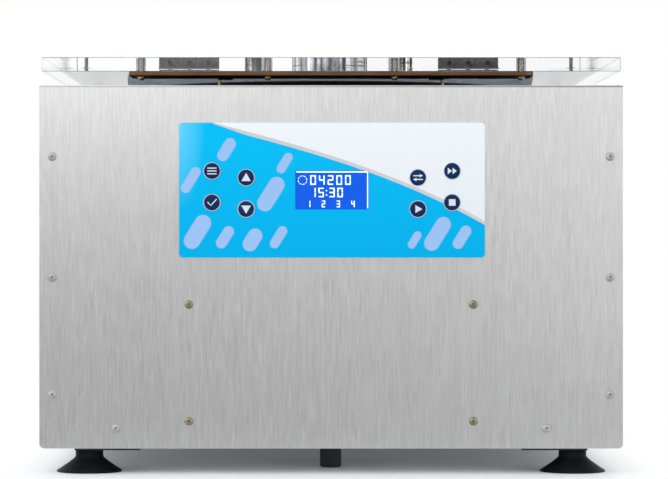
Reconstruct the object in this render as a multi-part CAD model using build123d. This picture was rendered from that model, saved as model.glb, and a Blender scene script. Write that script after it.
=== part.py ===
from build123d import *
import math
import os

# Benchtop centrifuge with a clear hinged lid and a swing-out rotor.
# Units are millimetres. +Z is up, the front panel faces -Y and +X is to the right seen from the front.
# The origin is at the middle of the footprint, on the surface that the suction feet stand on.
# A RISE is a height above the cabinet's underside, and an INSET a distance in from its nearest edge.

# Cabinet
BODY_W = 530.0
BODY_D = 610.0
BODY_H = 330.0
SHEET = 1.5
CORNER_R = 4.5
SIDE_FLANGE = 22.0
FLOOR_FLANGE = 30.0
DECK_LIP = 12.5
DECK_EDGE_R = 1.0
SEAM = 0.3
SCREW_HEAD_H = 2.2
SCREW_HEAD_R = 3.95
SCREW_R = 2.0
SCREW_LENGTH = 8.0
SCREW_HOLE_R = 2.2
SIDE_SCREW_INSET = 11.7
SIDE_SCREW_RISE_LOW = 49.0
SIDE_SCREW_RISE_MID = 155.4
SIDE_SCREW_RISE_HIGH = 265.0
FLOOR_SCREW_INSET = 69.5
FLOOR_SCREW_RISE = 18.4
FLOOR_VENT_COUNT = 8
FLOOR_VENT_PITCH = 14.0
FLOOR_VENT_L = 70.0
FLOOR_VENT_W = 6.0
FLOOR_VENT_INSET = 150.0

# Suction feet on their mounting plates, and the rest under the middle of the front
FOOT_H = 23.0
FOOT_R = 30.2
FOOT_LIP_W = 1.8
FOOT_LIP_T = 0.6
FOOT_CUP_W = 9.8
FOOT_CUP_H = 3.0
FOOT_CORE_H = 5.0
FOOT_NECK_R = 12.7
FOOT_NECK_H = 9.2
FOOT_SHOULDER_W = 5.0
FOOT_SHOULDER_H = 6.0
FOOT_SIDE_INSET = 43.3
FOOT_INSET = 30.0
FOOT_PLATE_SIDE = 60.0
FOOT_PLATE_T = 2.8
FOOT_STUD_R = 4.0
FOOT_STUD_PROUD = 3.0
FOOT_NUT_R = 7.5
FOOT_NUT_H = 6.5
REST_R = 10.0
REST_INSET = 82.0

# Rear power module
MODULE_INSET = 75.0
MODULE_RISE = 69.0
MODULE_W = 34.0
MODULE_H = 78.0
MODULE_DEPTH = 30.0
MODULE_FIT = 0.2
MODULE_FLANGE = 5.0
MODULE_FLANGE_T = 2.5
MODULE_CORNER_R = 3.0
SOCKET_W = 24.4
SOCKET_H = 17.0
SOCKET_DEPTH = 16.0
SOCKET_CORNER_R = 2.0
SOCKET_RISE = 16.0
BLADE_X = 7.0
BLADE_Z = 2.0
BLADE_T = 2.0
BLADE_H = 4.0
BLADE_RECESS = 3.0
FUSE_W = 20.0
FUSE_H = 12.0
FUSE_PROUD = 1.2
FUSE_CORNER_R = 1.0
ROCKER_W = 13.0
ROCKER_H = 22.0
ROCKER_DROP = 19.0
ROCKER_AXIS_DEPTH = 3.0
ROCKER_FACE = 4.0
ROCKER_DISH = 2.0
ROCKER_ROOT = 3.0
ROCKER_KEEL = 6.5
ROCKER_TILT = 10.0
ROCKER_CLEAR = 0.6
ROCKER_WELL = 14.0
ROCKER_PEG_R = 1.5
ROCKER_PEG_REACH = 1.6
ROCKER_PEG_CLEAR = 0.05

# Cooling fan and rear vents
FAN_INSET = 90.0
FAN_RISE = 97.0
FAN_SIZE = 92.0
FAN_DEPTH = 25.0
FAN_BORE_R = 42.5
FAN_SCREW_INSET = 5.0
FAN_HUB_R = 18.0
FAN_HUB_T = 4.0
FAN_PIN_R = 2.0
FAN_PIN_L = 10.0
FAN_SPOKE_W = 5.0
FAN_SPOKE_T = 3.0
FAN_SPOKE_ROOT = 2.0
FAN_BLADES = 7
FAN_BLADE_T = 1.6
FAN_BLADE_W = 20.0
FAN_BLADE_TURN = 50.0
FAN_TIP_GAP = 1.5
FAN_END_GAP = 2.0
FAN_WHEEL_GAP = 1.0
VENT_SLOT_W = 5.0
GRILLE_PITCH = 9.0
GRILLE_MARGIN = 2.0
REAR_VENT_COUNT = 10
REAR_VENT_PITCH = 12.0
REAR_VENT_H = 48.0

# Lid
LID_T = 12.7
LID_GAP = 12.7
LID_INSET = 2.0
LID_EDGE = 0.4
BAR_W = 368.0
BAR_D = 60.0
BAR_T = 3.6
BAR_CORNER_R = 6.0
BOLT_END_INSET = 10.5
BOLT_INNER_X = 58.0
BOLT_INSET = 20.0
BOLT_BARREL_R = 4.5
BOLT_STUD_R = 3.0
BOLT_NUT_R = 3.9
BOLT_NUT_H = 3.9
FRONT_PLATE_W = 377.0
FRONT_PLATE_FLARE = 13.0
FRONT_PLATE_T = 0.5
FRONT_PLATE_DEPTH = 200.0
FRONT_PLATE_GAP = 2.0
PORT_R = 37.0
PORT_BORE_R = 26.0
BUMPER_SIDE_INSET = 13.0
BUMPER_INSET = 40.0
BUMPER_R = 6.0
BUMPER_TAPER = 1.0
BUMPER_SCREW_R = 2.0
BUMPER_SCREW_COVER = 1.0

# Lid hinges and friction stays
HINGE_INSET = 9.0
HINGE_BARREL_R = 4.5
HINGE_PIN_R = 2.5
HINGE_BORE_CLEAR = 0.05
HINGE_X = 146.0
HINGE_W = 63.0
HINGE_LEAF_D = 36.0
HINGE_LEAF_T = 2.5
HINGE_FLANGE_T = 3.0
HINGE_FLANGE_CLEAR = 0.35
HINGE_SCREW_PITCH = 20.0
HINGE_SCREW_R = 2.0
HINGE_SCREW_HEAD_R = 3.6
HINGE_SCREW_HEAD_H = 2.0
HINGE_SCREW_DEPTH = 15.0
KNUCKLE_GAP = 0.5
KNUCKLE_W = 21.0
KNUCKLE_RELIEF = 0.01
STAY_X = 75.0
STAY_W = 25.0
STAY_D = 30.0
STAY_BOSS_INSET = 17.0

# Lid lock
HOOK_X = 102.5
HOOK_T = 2.0
HOOK_W = 24.0
HOOK_INSET = 22.0
HOOK_DROP = 44.0
HOOK_TIP = 4.0
HOOK_FOOT = 12.0
HOOK_FOOT_SETBACK = 8.0
HOOK_WINDOW_W = 12.0
HOOK_WINDOW_H = 9.0
HOOK_WINDOW_RISE = 8.0
GUIDE_W = 14.0
GUIDE_SLOT = 5.0
GUIDE_MARGIN = 5.0
GUIDE_WALL = 3.0
GUIDE_H = 40.0
LOCK_NOSE_W = 8.0
LOCK_NOSE_H = 6.0
LOCK_NOSE_CLEAR = 0.5
LOCK_BAR_T = 4.0
LOCK_BAR_H = 12.0
LOCK_PRONG_T = 5.0
LOCK_END_CLEAR = 1.0
LOCK_FIT = 0.2
LOCK_TRAVEL = 8.0
SOLENOID_W = 60.0
SOLENOID_D = 30.0
SOLENOID_H = 35.0
PLUNGER_ARM_T = 4.0
PLUNGER_ARM_REACH = 5.0
PLUNGER_R = 4.0
PLUNGER_L = 40.0
PLUNGER_BORE = 52.0

# Spinning chamber
CHAMBER_TO_REAR = 265.0
BOWL_R = 185.0
BOWL_FLOOR_RISE = 145.0
BOWL_CORNER_R = 22.0
BOWL_RIM_W = 12.0
GASKET_SETBACK = 2.0
GASKET_W = 12.0
GASKET_LIP = 1.5
GASKET_DIP = 1.0
GASKET_CLEAR = 0.3
DECK_HOLE_CLEAR = 0.5
GUARD_GAP = 16.5
GUARD_T = 3.0
GUARD_OVERHANG = 18.0
BOOT_OUT_R = 33.0
BOOT_WAIST_R = 28.0
BOOT_LIP = 2.5
BOOT_EDGE = 1.0

# Motor and drive shaft
MOTOR_R = 55.0
MOTOR_WALL = 3.0
MOTOR_EDGE = 3.0
MOTOR_END_T = 4.0
MOTOR_RISE = 13.0
MOTOR_FRAME_RISE = 90.0
MOTOR_FRAME_T = 5.0
MOTOR_FRAME_SIDE = 210.0
MOTOR_FRAME_FIT = 1.0
MOTOR_FLANGE_R = 68.0
MOTOR_FLANGE_T = 8.0
NOSE_R = 24.0
NOSE_FOOT = 12.0
NOSE_SLOPE = 16.0
NOSE_PROUD = 4.0
NOSE_EDGE = 1.0
NOSE_CAP = 3.0
BEARING_OUT_R = 17.5
BEARING_W = 11.0
BEARING_CUP = 4.0
SHAFT_R = 7.5
SHAFT_COLLAR_R = 10.0
SHAFT_COLLAR_RISE = 3.0
SHAFT_CLEAR = 0.05
SHAFT_PASS = 2.5
ARMATURE_R = 30.0
ARMATURE_GAP = 0.6
STATOR_RISE = 20.0
STATOR_H = 52.0
LEG_W = 26.0
LEG_WALL = 4.0
MOUNT_R = 13.0
MOUNT_H = 18.0
MOUNT_END = 3.0
MOUNT_WAIST = 2.0

# Swing-out rotor
TRUNNION_RISE = 257.0
TRUNNION_REACH = 78.0
TRUNNION_R = 4.0
TRUNNION_CLEAR = 0.05
TRUNNION_SEAT = 12.0
TRUNNION_DEPTH = 3.5
HEAD_R = 108.0
HEAD_T = 28.0
HEAD_SLOT_R = 38.0
HEAD_SLOT_CENTRE = 72.0
HUB_R = 26.0
HUB_DROP = 18.0
KNOB_R = 17.0
KNOB_H = 24.0
KNOB_EDGE_R = 2.5
KNOB_ROOF = 4.0
KNOB_FLUTES = 8
FLUTE_R = 4.5
FLUTE_OUT = 2.5
STUD_R = 5.0
BUCKET_R = 30.0
BUCKET_WALL = 2.5
BUCKET_FLOOR = 3.0
BUCKET_BEVEL = 8.0
BUCKET_INNER_BEVEL = 6.0
BUCKET_DROP = 98.0
BUCKET_RISE = 18.0
BUCKET_RIM_R = 33.0
BUCKET_RIM_H = 10.0
BUCKET_RIM_SLOPE = 3.0
EAR_R = 12.0
EAR_REACH = 37.2
EAR_ROOT = 26.0
EAR_SLOT = 4.5

# Control panel
OVERLAY_W = 277.6
OVERLAY_H = 122.4
OVERLAY_X = 0.8
OVERLAY_RISE = 234.7
OVERLAY_T = 0.8
OVERLAY_R = 3.5
DISPLAY_W = 66.4
DISPLAY_H = 35.0
DISPLAY_FIT = 0.15
DISPLAY_CORNER_R = 0.9
DISPLAY_RIM = 6.0
DISPLAY_RIM_R = 2.0
DISPLAY_DEPTH = 8.5
DISPLAY_FOOT_INSET = 4.0
DISPLAY_FOOT_R = 2.0
KEY_OUTER_X = 109.0
KEY_INNER_X = 78.0
KEY_HALF_ROW = 14.3
KEY_STAGGER = 3.0
KEY_R = 7.85
KEY_EDGE = 0.5
KEY_PROUD = 0.8
KEY_TRAVEL = 0.6
KEY_HOLE_CLEAR = 0.25
KEY_FLANGE_R = 9.6
KEY_FLANGE_T = 1.5
KEY_FLANGE_GAP = 0.2
KEY_STEM_R = 3.0
KEY_STEM_L = 2.0
KEYS = {
    "key_select": (-KEY_OUTER_X, KEY_STAGGER + KEY_HALF_ROW),
    "key_up": (-KEY_INNER_X, KEY_HALF_ROW - KEY_STAGGER),
    "key_accept": (-KEY_OUTER_X, KEY_STAGGER - KEY_HALF_ROW),
    "key_down": (-KEY_INNER_X, -KEY_HALF_ROW - KEY_STAGGER),
    "key_units": (KEY_INNER_X, KEY_HALF_ROW - KEY_STAGGER),
    "key_pulse": (KEY_OUTER_X, KEY_STAGGER + KEY_HALF_ROW),
    "key_run": (KEY_INNER_X, -KEY_HALF_ROW - KEY_STAGGER),
    "key_halt": (KEY_OUTER_X, KEY_STAGGER - KEY_HALF_ROW),
}
BOARD_GAP = 10.0
BOARD_T = 1.6
BOARD_W = 252.0
BOARD_H = 104.0
BOARD_POST_R = 3.0
BOARD_POST_X = 121.0
BOARD_POST_Z = 47.0
SWITCH_SIDE = 6.0
SWITCH_GAP = 0.1
SWITCH_TIP_R = 1.75
SWITCH_TIP_L = 1.0
CHIP_W = 40.0
CHIP_H = 22.0
CHIP_T = 3.0
CHIP_DROP = 6.7
PLUG_X = 80.0
PLUG_W = 44.0
PLUG_H = 10.0
PLUG_T = 9.0
PLUG_DROP = 40.7

# Motor drive, hung behind the front panel on four screws
DRIVE_SCREW_X = 129.2
DRIVE_SCREW_RISE_LOW = 24.8
DRIVE_SCREW_RISE_HIGH = 130.8
DRIVE_POST_R = 5.0
DRIVE_POST_L = 10.0
DRIVE_PLATE_T = 3.0
DRIVE_MARGIN = 9.0
DRIVE_FIN_COUNT = 9
DRIVE_FIN_T = 2.0
DRIVE_FIN_DEPTH = 22.0
DRIVE_FIN_PITCH = 9.0
DRIVE_FIN_INSET = 12.0
DRIVE_BOARD_W = 160.0
DRIVE_BOARD_H = 98.0
DRIVE_BOARD_GAP = 4.0
DRIVE_BOARD_T = 1.6
DRIVE_STAND_R = 3.0
DRIVE_STAND_INSET = 6.0
CAPACITOR_R = 12.5
CAPACITOR_L = 38.0
CAPACITOR_X = 34.0
CAPACITOR_PITCH = 32.0
CAPACITOR_RISE = 19.0
CHOKE_SIDE = 46.0
CHOKE_DEPTH = 34.0
CHOKE_X = 33.0
CHOKE_RISE = 14.0
STRIP_W = 120.0
STRIP_H = 16.0
STRIP_DEPTH = 12.0
STRIP_DROP = 33.0

# Places worked out from the sizes above
ROCKER_REST = math.radians(ROCKER_TILT / 2)
ROCKER_REACH = ROCKER_FACE * math.cos(ROCKER_REST) + ROCKER_H / 2 * math.sin(ROCKER_REST)
REAR_PROUD = MODULE_FLANGE_T - ROCKER_AXIS_DEPTH + ROCKER_REACH
FRONT_Y = -(BODY_D + REAR_PROUD - SCREW_HEAD_H) / 2
REAR_Y = FRONT_Y + BODY_D
HALF_W = BODY_W / 2
FLOOR_Z = FOOT_H + SHEET
DECK_Z = FOOT_H + BODY_H
DECK_UNDER_Z = DECK_Z - SHEET
LID_Z = DECK_Z + LID_GAP
LID_TOP_Z = LID_Z + LID_T
LID_FRONT_Y = FRONT_Y + LID_INSET
CHAMBER_Y = REAR_Y - CHAMBER_TO_REAR
HINGE_Y = REAR_Y - HINGE_INSET
HINGE_Z = DECK_Z + LID_GAP / 2
PANEL_BACK_Y = FRONT_Y + SHEET
PANEL_H = BODY_H - SHEET - SEAM
SIDE_SCREW_X = HALF_W - SIDE_SCREW_INSET
FLOOR_SCREW_X = HALF_W - FLOOR_SCREW_INSET
FOOT_X = HALF_W - FOOT_SIDE_INSET
FOOT_TOP_Z = FOOT_H - FOOT_PLATE_T
MODULE_X = MODULE_INSET - HALF_W
MODULE_Z = FOOT_H + MODULE_RISE
MODULE_FACE_Y = REAR_Y + MODULE_FLANGE_T
SOCKET_Z = MODULE_Z - MODULE_H / 2 + SOCKET_RISE
ROCKER_Y = MODULE_FACE_Y - ROCKER_AXIS_DEPTH
ROCKER_Z = MODULE_Z + MODULE_H / 2 - ROCKER_DROP
FAN_X = HALF_W - FAN_INSET
FAN_Z = FOOT_H + FAN_RISE
FAN_BACK_Y = REAR_Y - SHEET
FAN_FRONT_Y = FAN_BACK_Y - FAN_DEPTH
BOWL_RIM_R = BOWL_R + BOWL_RIM_W
BOWL_FLOOR_Z = FOOT_H + BOWL_FLOOR_RISE
RIM_TOP_Z = DECK_Z + SHEET
GASKET_IN_R = BOWL_R + GASKET_SETBACK
GASKET_OUT_R = GASKET_IN_R + GASKET_W
GASKET_TOP_Z = LID_Z - GASKET_CLEAR
GUARD_IN_R = BOWL_R + SHEET + GUARD_GAP
GUARD_BOTTOM_Z = BOWL_FLOOR_Z - GUARD_OVERHANG
MOTOR_BOTTOM_Z = FOOT_H + MOTOR_RISE
MOTOR_FRAME_Z = FOOT_H + MOTOR_FRAME_RISE
MOTOR_TOP_Z = MOTOR_FRAME_Z + MOTOR_FRAME_T
STATOR_Z = MOTOR_BOTTOM_Z + STATOR_RISE
NOSE_TOP_Z = BOWL_FLOOR_Z + NOSE_PROUD
LOW_BEARING_Z = MOTOR_BOTTOM_Z + MOTOR_END_T
HIGH_BEARING_Z = NOSE_TOP_Z - NOSE_CAP - BEARING_W
TRUNNION_Z = FOOT_H + TRUNNION_RISE
SHOULDER_Z = TRUNNION_Z - HEAD_T / 2 - HUB_DROP
HEAD_TOP_Z = TRUNNION_Z + HEAD_T / 2
OVERLAY_Z = FOOT_H + OVERLAY_RISE
OVERLAY_Y = FRONT_Y - OVERLAY_T
KEY_FLANGE_Y = PANEL_BACK_Y + KEY_FLANGE_GAP
KEY_BACK_Y = KEY_FLANGE_Y + KEY_FLANGE_T + KEY_STEM_L
BOARD_Y = PANEL_BACK_Y + BOARD_GAP
DRIVE_LOW_Z = FOOT_H + DRIVE_SCREW_RISE_LOW
DRIVE_HIGH_Z = FOOT_H + DRIVE_SCREW_RISE_HIGH
DRIVE_MID_Z = (DRIVE_LOW_Z + DRIVE_HIGH_Z) / 2
DRIVE_PLATE_Y = PANEL_BACK_Y + DRIVE_POST_L
BOLT_Y = FRONT_Y + BOLT_INSET
BAR_UNDER_Z = LID_Z - BAR_T
LID_SCREW_Z = LID_Z + LID_T / 2
STAY_BOSS_Y = HINGE_Y - STAY_BOSS_INSET
HOOK_Y = FRONT_Y + HOOK_INSET + HOOK_W / 2
HOOK_BOTTOM_Z = BAR_UNDER_Z - HOOK_DROP
LOCK_Z = HOOK_BOTTOM_Z + HOOK_WINDOW_RISE + HOOK_WINDOW_H / 2
LOCK_BAR_Y = HOOK_Y + HOOK_W / 2 + GUIDE_MARGIN + LOCK_BAR_T
GUIDE_BACK_Y = LOCK_BAR_Y + LOCK_BAR_T / 2 + GUIDE_WALL
PLUNGER_ARM_X = HOOK_X + GUIDE_W / 2 + LOCK_END_CLEAR
SOLENOID_X = PLUNGER_ARM_X + PLUNGER_ARM_T + LOCK_TRAVEL + LOCK_END_CLEAR
SOLENOID_Y = GUIDE_BACK_Y + SOLENOID_D / 2


def block(x0, x1, y0, y1, z0, z1):
    """A box between two opposite corners."""
    middle = Pos((x0 + x1) / 2, (y0 + y1) / 2, (z0 + z1) / 2)
    return middle * Box(x1 - x0, y1 - y0, z1 - z0)


def pad_y(x, z, width, height, y0, y1):
    """A box centred left-right and up-down on x and z, from y0 back to y1."""
    return block(x - width / 2, x + width / 2, y0, y1, z - height / 2, z + height / 2)


def rod_z(x, y, z0, z1, r):
    """An upright cylinder."""
    return Pos(x, y, (z0 + z1) / 2) * Cylinder(r, z1 - z0)


def rod_y(x, z, y0, y1, r):
    """A cylinder that runs front to back."""
    return Pos(x, (y0 + y1) / 2, z) * Rot(90, 0, 0) * Cylinder(r, y1 - y0)


def rod_x(y, z, x0, x1, r):
    """A cylinder that runs left to right."""
    return Pos((x0 + x1) / 2, y, z) * Rot(0, 90, 0) * Cylinder(r, x1 - x0)


def turned(points, x=0.0, y=0.0, z=0.0):
    """A solid of revolution about an upright axis, from (radius, height) points."""
    face = Plane.XZ * make_face(Polyline(*points, close=True))
    return Pos(x, y, z) * revolve(face, Axis.Z)


def turned_y(points, x, y, z):
    """A solid of revolution about a front-to-back axis, from (radius, depth) points."""
    return Pos(x, y, z) * Rot(-90, 0, 0) * turned(points)


def plate_y(width, height, thickness, corner, x, y, z):
    """An upright plate with rounded corners, its front face at y."""
    outline = RectangleRounded(width, height, corner)
    return Pos(x, y, z) * Rot(90, 0, 0) * extrude(outline, -thickness)


def slot_y(width, height, x, z, y0, y1):
    """A cutter for an upright slot through a sheet."""
    outline = SlotOverall(height, width, rotation=90)
    return Pos(x, y0, z) * Rot(90, 0, 0) * extrude(outline, y0 - y1)


def at_corners(x, y):
    """The four places that a left-right and front-back pair makes about the origin."""
    return [(sx * x, sy * y) for sx in (-1, 1) for sy in (-1, 1)]


def in_row(count, pitch):
    """Places of a row of equal steps, centred on zero."""
    return [(k - (count - 1) / 2) * pitch for k in range(count)]


def group(shapes):
    """Several separate solids that share one node."""
    return Compound(children=list(shapes))


def panel_screw_places():
    """Left-right place and height of the screws round a front or rear panel."""
    rises = (SIDE_SCREW_RISE_LOW, SIDE_SCREW_RISE_MID, SIDE_SCREW_RISE_HIGH)
    places = [(s * SIDE_SCREW_X, FOOT_H + rise) for s in (-1, 1) for rise in rises]
    places += [(s * FLOOR_SCREW_X, FOOT_H + FLOOR_SCREW_RISE) for s in (-1, 1)]
    return places


def drive_screw_places():
    """Left-right place and height of the screws that carry the motor drive."""
    return [(s * DRIVE_SCREW_X, z) for s in (-1, 1) for z in (DRIVE_LOW_Z, DRIVE_HIGH_Z)]


def key_places():
    """Left-right place and height of the eight keys."""
    return [(OVERLAY_X + x, OVERLAY_Z + z) for x, z in KEYS.values()]


def foot_places():
    """The four feet, set in from the cabinet's front and rear faces."""
    return [(s * FOOT_X, y) for s in (-1, 1) for y in (FRONT_Y + FOOT_INSET, REAR_Y - FOOT_INSET)]


def bolt_places():
    """The four bolts that hold the latch bar to the lid."""
    outer_x = BAR_W / 2 - BOLT_END_INSET
    return [s * x for s in (-1, 1) for x in (outer_x, BOLT_INNER_X)]


def hinge_screw_places():
    """The three screws of each lid hinge."""
    return [s * HINGE_X + k for s in (-1, 1) for k in in_row(3, HINGE_SCREW_PITCH)]


# Cabinet pieces


def u_outline(grow):
    """Front view of the wrap-round sheet: a U with rounded lower corners, grown inwards by grow."""
    half = HALF_W - grow
    low = FOOT_H + grow
    bend = max(CORNER_R - grow, 1.0)
    tall = DECK_UNDER_Z - low
    outline = Pos(0, low + tall / 2) * Rectangle(2 * half, tall)
    corners = outline.vertices().group_by(Axis.Y)[0]
    return fillet(corners, bend)


def make_body_shell():
    """Sides and floor in one folded sheet, with flanges that the front and rear panels screw to."""
    depth = BODY_D - 2 * SHEET
    flange_y = PANEL_BACK_Y + SHEET
    shell = Pos(0, PANEL_BACK_Y, 0) * Rot(90, 0, 0) * extrude(u_outline(0), -depth)
    shell -= Pos(0, flange_y, 0) * Rot(90, 0, 0) * extrude(u_outline(SHEET), 2 * SHEET - depth)
    shell -= block(
        SIDE_FLANGE - HALF_W, HALF_W - SIDE_FLANGE,
        FRONT_Y, REAR_Y,
        FOOT_H + FLOOR_FLANGE, DECK_Z,
    )
    for x, z in panel_screw_places():
        shell -= rod_y(x, z, PANEL_BACK_Y, flange_y, SCREW_R)
        shell -= rod_y(x, z, REAR_Y - 2 * SHEET, REAR_Y - SHEET, SCREW_R)
    for x, z in drive_screw_places():
        shell -= rod_y(x, z, PANEL_BACK_Y, flange_y, DRIVE_POST_R + SEAM)
    for x, y in foot_places():
        shell -= rod_z(x, y, FOOT_H, FLOOR_Z, FOOT_STUD_R)
    slot = extrude(SlotOverall(FLOOR_VENT_L, FLOOR_VENT_W, rotation=90), SHEET)
    for x in in_row(FLOOR_VENT_COUNT, FLOOR_VENT_PITCH):
        shell -= Pos(x, FRONT_Y + FLOOR_VENT_INSET, FOOT_H) * slot
    return shell


def panel_plate(face_y):
    """Front or rear plate with rounded lower corners and its screw holes, its front face at face_y."""
    outline = Rectangle(BODY_W, PANEL_H)
    outline = fillet(outline.vertices().group_by(Axis.Y)[0], CORNER_R)
    panel = Pos(0, face_y, FOOT_H + PANEL_H / 2) * Rot(90, 0, 0) * extrude(outline, -SHEET)
    for x, z in panel_screw_places():
        panel -= rod_y(x, z, face_y, face_y + SHEET, SCREW_HOLE_R)
    return panel


def display_cutter(face_y, depth):
    """Cutter for the display's window in a sheet."""
    width = DISPLAY_W + 2 * DISPLAY_FIT
    height = DISPLAY_H + 2 * DISPLAY_FIT
    return plate_y(width, height, depth, DISPLAY_CORNER_R + DISPLAY_FIT, OVERLAY_X, face_y, OVERLAY_Z)


def make_front_panel():
    """Brushed face plate, with welded studs for the control board on its back."""
    panel = panel_plate(FRONT_Y)
    for x, z in drive_screw_places():
        panel -= rod_y(x, z, FRONT_Y, PANEL_BACK_Y, SCREW_HOLE_R)
    for x, z in key_places():
        panel -= rod_y(x, z, FRONT_Y, PANEL_BACK_Y, KEY_R + KEY_HOLE_CLEAR)
    panel -= display_cutter(FRONT_Y, SHEET)
    for x, z in at_corners(BOARD_POST_X, BOARD_POST_Z):
        panel += rod_y(OVERLAY_X + x, OVERLAY_Z + z, PANEL_BACK_Y, BOARD_Y, BOARD_POST_R)
    return panel


def make_rear_panel():
    """Plain rear plate with a fan grille, a vent and the power module's cut-out."""
    face_y = REAR_Y - SHEET
    panel = panel_plate(face_y)
    corner = FAN_SIZE / 2 - FAN_SCREW_INSET
    for x, z in at_corners(corner, corner):
        panel -= rod_y(FAN_X + x, FAN_Z + z, face_y, REAR_Y, SCREW_HOLE_R)
    side_slots = math.floor((FAN_BORE_R - GRILLE_MARGIN) / GRILLE_PITCH)
    for x in in_row(2 * side_slots + 1, GRILLE_PITCH):
        reach = math.sqrt(FAN_BORE_R ** 2 - x ** 2) - GRILLE_MARGIN
        panel -= slot_y(VENT_SLOT_W, 2 * reach, FAN_X + x, FAN_Z, face_y, REAR_Y)
    for x in in_row(REAR_VENT_COUNT, REAR_VENT_PITCH):
        panel -= slot_y(VENT_SLOT_W, REAR_VENT_H, x, FAN_Z, face_y, REAR_Y)
    panel -= pad_y(MODULE_X, MODULE_Z, MODULE_W, MODULE_H, face_y, REAR_Y)
    return panel


def make_top_deck():
    """Top sheet with the round chamber mouth, slots for the two lid hooks and short folded lips."""
    deck = block(-HALF_W, HALF_W, FRONT_Y, REAR_Y, DECK_UNDER_Z, DECK_Z)
    deck = fillet(deck.edges().filter_by(Axis.X).group_by(Axis.Z)[-1], DECK_EDGE_R)
    deck -= rod_z(0, CHAMBER_Y, DECK_UNDER_Z, DECK_Z, BOWL_R + SHEET + DECK_HOLE_CLEAR)
    lip = HALF_W - SIDE_FLANGE - SEAM
    low = DECK_UNDER_Z - DECK_LIP
    deck += block(-lip, lip, PANEL_BACK_Y + SEAM, PANEL_BACK_Y + SEAM + SHEET, low, DECK_UNDER_Z)
    deck += block(-lip, lip, REAR_Y - 2 * SHEET - SEAM, REAR_Y - SHEET - SEAM, low, DECK_UNDER_Z)
    for s in (-1, 1):
        deck -= hook_slot(s, DECK_UNDER_Z, DECK_Z)
    return deck


def hook_slot(side, z0, z1):
    """Cutter for the slot that a lid hook drops through."""
    x = side * HOOK_X
    half_d = HOOK_W / 2 + GUIDE_MARGIN
    return block(x - GUIDE_SLOT / 2, x + GUIDE_SLOT / 2, HOOK_Y - half_d, HOOK_Y + half_d, z0, z1)


def make_feet():
    """Suction-cup feet, each a neck that flares to a thin-lipped cup, and a plain round rest."""
    neck_z = FOOT_H - FOOT_NECK_H
    profile = [
        (0, FOOT_TOP_Z), (FOOT_NECK_R, FOOT_TOP_Z), (FOOT_NECK_R, neck_z),
        (FOOT_NECK_R + FOOT_SHOULDER_W, neck_z - FOOT_SHOULDER_H),
        (FOOT_R - FOOT_CUP_H, FOOT_CUP_H), (FOOT_R, FOOT_LIP_T), (FOOT_R - FOOT_LIP_T, 0),
        (FOOT_R - FOOT_LIP_T - FOOT_LIP_W, 0), (FOOT_R - FOOT_CUP_W, FOOT_CUP_H), (0, FOOT_CORE_H),
    ]
    feet = [turned(profile, x, y) for x, y in foot_places()]
    feet.append(rod_z(0, FRONT_Y + REST_INSET, 0, FOOT_H, REST_R))
    return group(feet)


def make_foot_studs():
    """Mounting plate, stud and nut of each foot, clamped about the cabinet floor."""
    nut_top = FLOOR_Z + FOOT_NUT_H
    studs = []
    for x, y in foot_places():
        stud = rod_z(x, y, FOOT_TOP_Z, nut_top + FOOT_STUD_PROUD, FOOT_STUD_R)
        stud += Pos(x, y, FLOOR_Z) * extrude(RegularPolygon(FOOT_NUT_R, 6), FOOT_NUT_H)
        corner_x = x + math.copysign(FOOT_NECK_R, x)
        corner_y = y + math.copysign(FOOT_NECK_R, y)
        x0, x1 = sorted((corner_x, corner_x - math.copysign(FOOT_PLATE_SIDE, x)))
        y0, y1 = sorted((corner_y, corner_y - math.copysign(FOOT_PLATE_SIDE, y)))
        stud += block(x0, x1, y0, y1, FOOT_TOP_Z, FOOT_H)
        studs.append(stud)
    return group(studs)


def button_screw(x, y, z, facing, length):
    """A low-headed screw. facing is -1 where the head looks to the front and 1 where it looks to the rear."""
    profile = [
        (0, SCREW_HEAD_H), (SCREW_HEAD_R / 2, SCREW_HEAD_H), (SCREW_HEAD_R, SCREW_HEAD_H / 2),
        (SCREW_HEAD_R, 0), (SCREW_R, 0), (SCREW_R, -length), (0, -length),
    ]
    return turned_y([(r, facing * d) for r, d in profile], x, y, z)


def make_panel_screws():
    """Screws round the front and the rear panel."""
    screws = [button_screw(x, FRONT_Y, z, -1, SCREW_LENGTH) for x, z in panel_screw_places()]
    screws += [button_screw(x, REAR_Y, z, 1, SCREW_LENGTH) for x, z in panel_screw_places()]
    return group(screws)


def make_drive_screws():
    """Screws through the front panel into the motor drive's heat sink."""
    length = SHEET + DRIVE_POST_L
    return group(button_screw(x, FRONT_Y, z, -1, length) for x, z in drive_screw_places())


# Control panel pieces


def make_control_overlay():
    """Printed face film, open at the display and at the keys."""
    film = plate_y(OVERLAY_W, OVERLAY_H, OVERLAY_T, OVERLAY_R, OVERLAY_X, OVERLAY_Y, OVERLAY_Z)
    for x, z in key_places():
        film -= rod_y(x, z, OVERLAY_Y, FRONT_Y, KEY_R + KEY_HOLE_CLEAR)
    return film - display_cutter(OVERLAY_Y, OVERLAY_T)


def make_display_window():
    """Clear pane over the display, flush with the film."""
    return plate_y(DISPLAY_W, DISPLAY_H, OVERLAY_T, DISPLAY_CORNER_R, OVERLAY_X, OVERLAY_Y, OVERLAY_Z)


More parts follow.
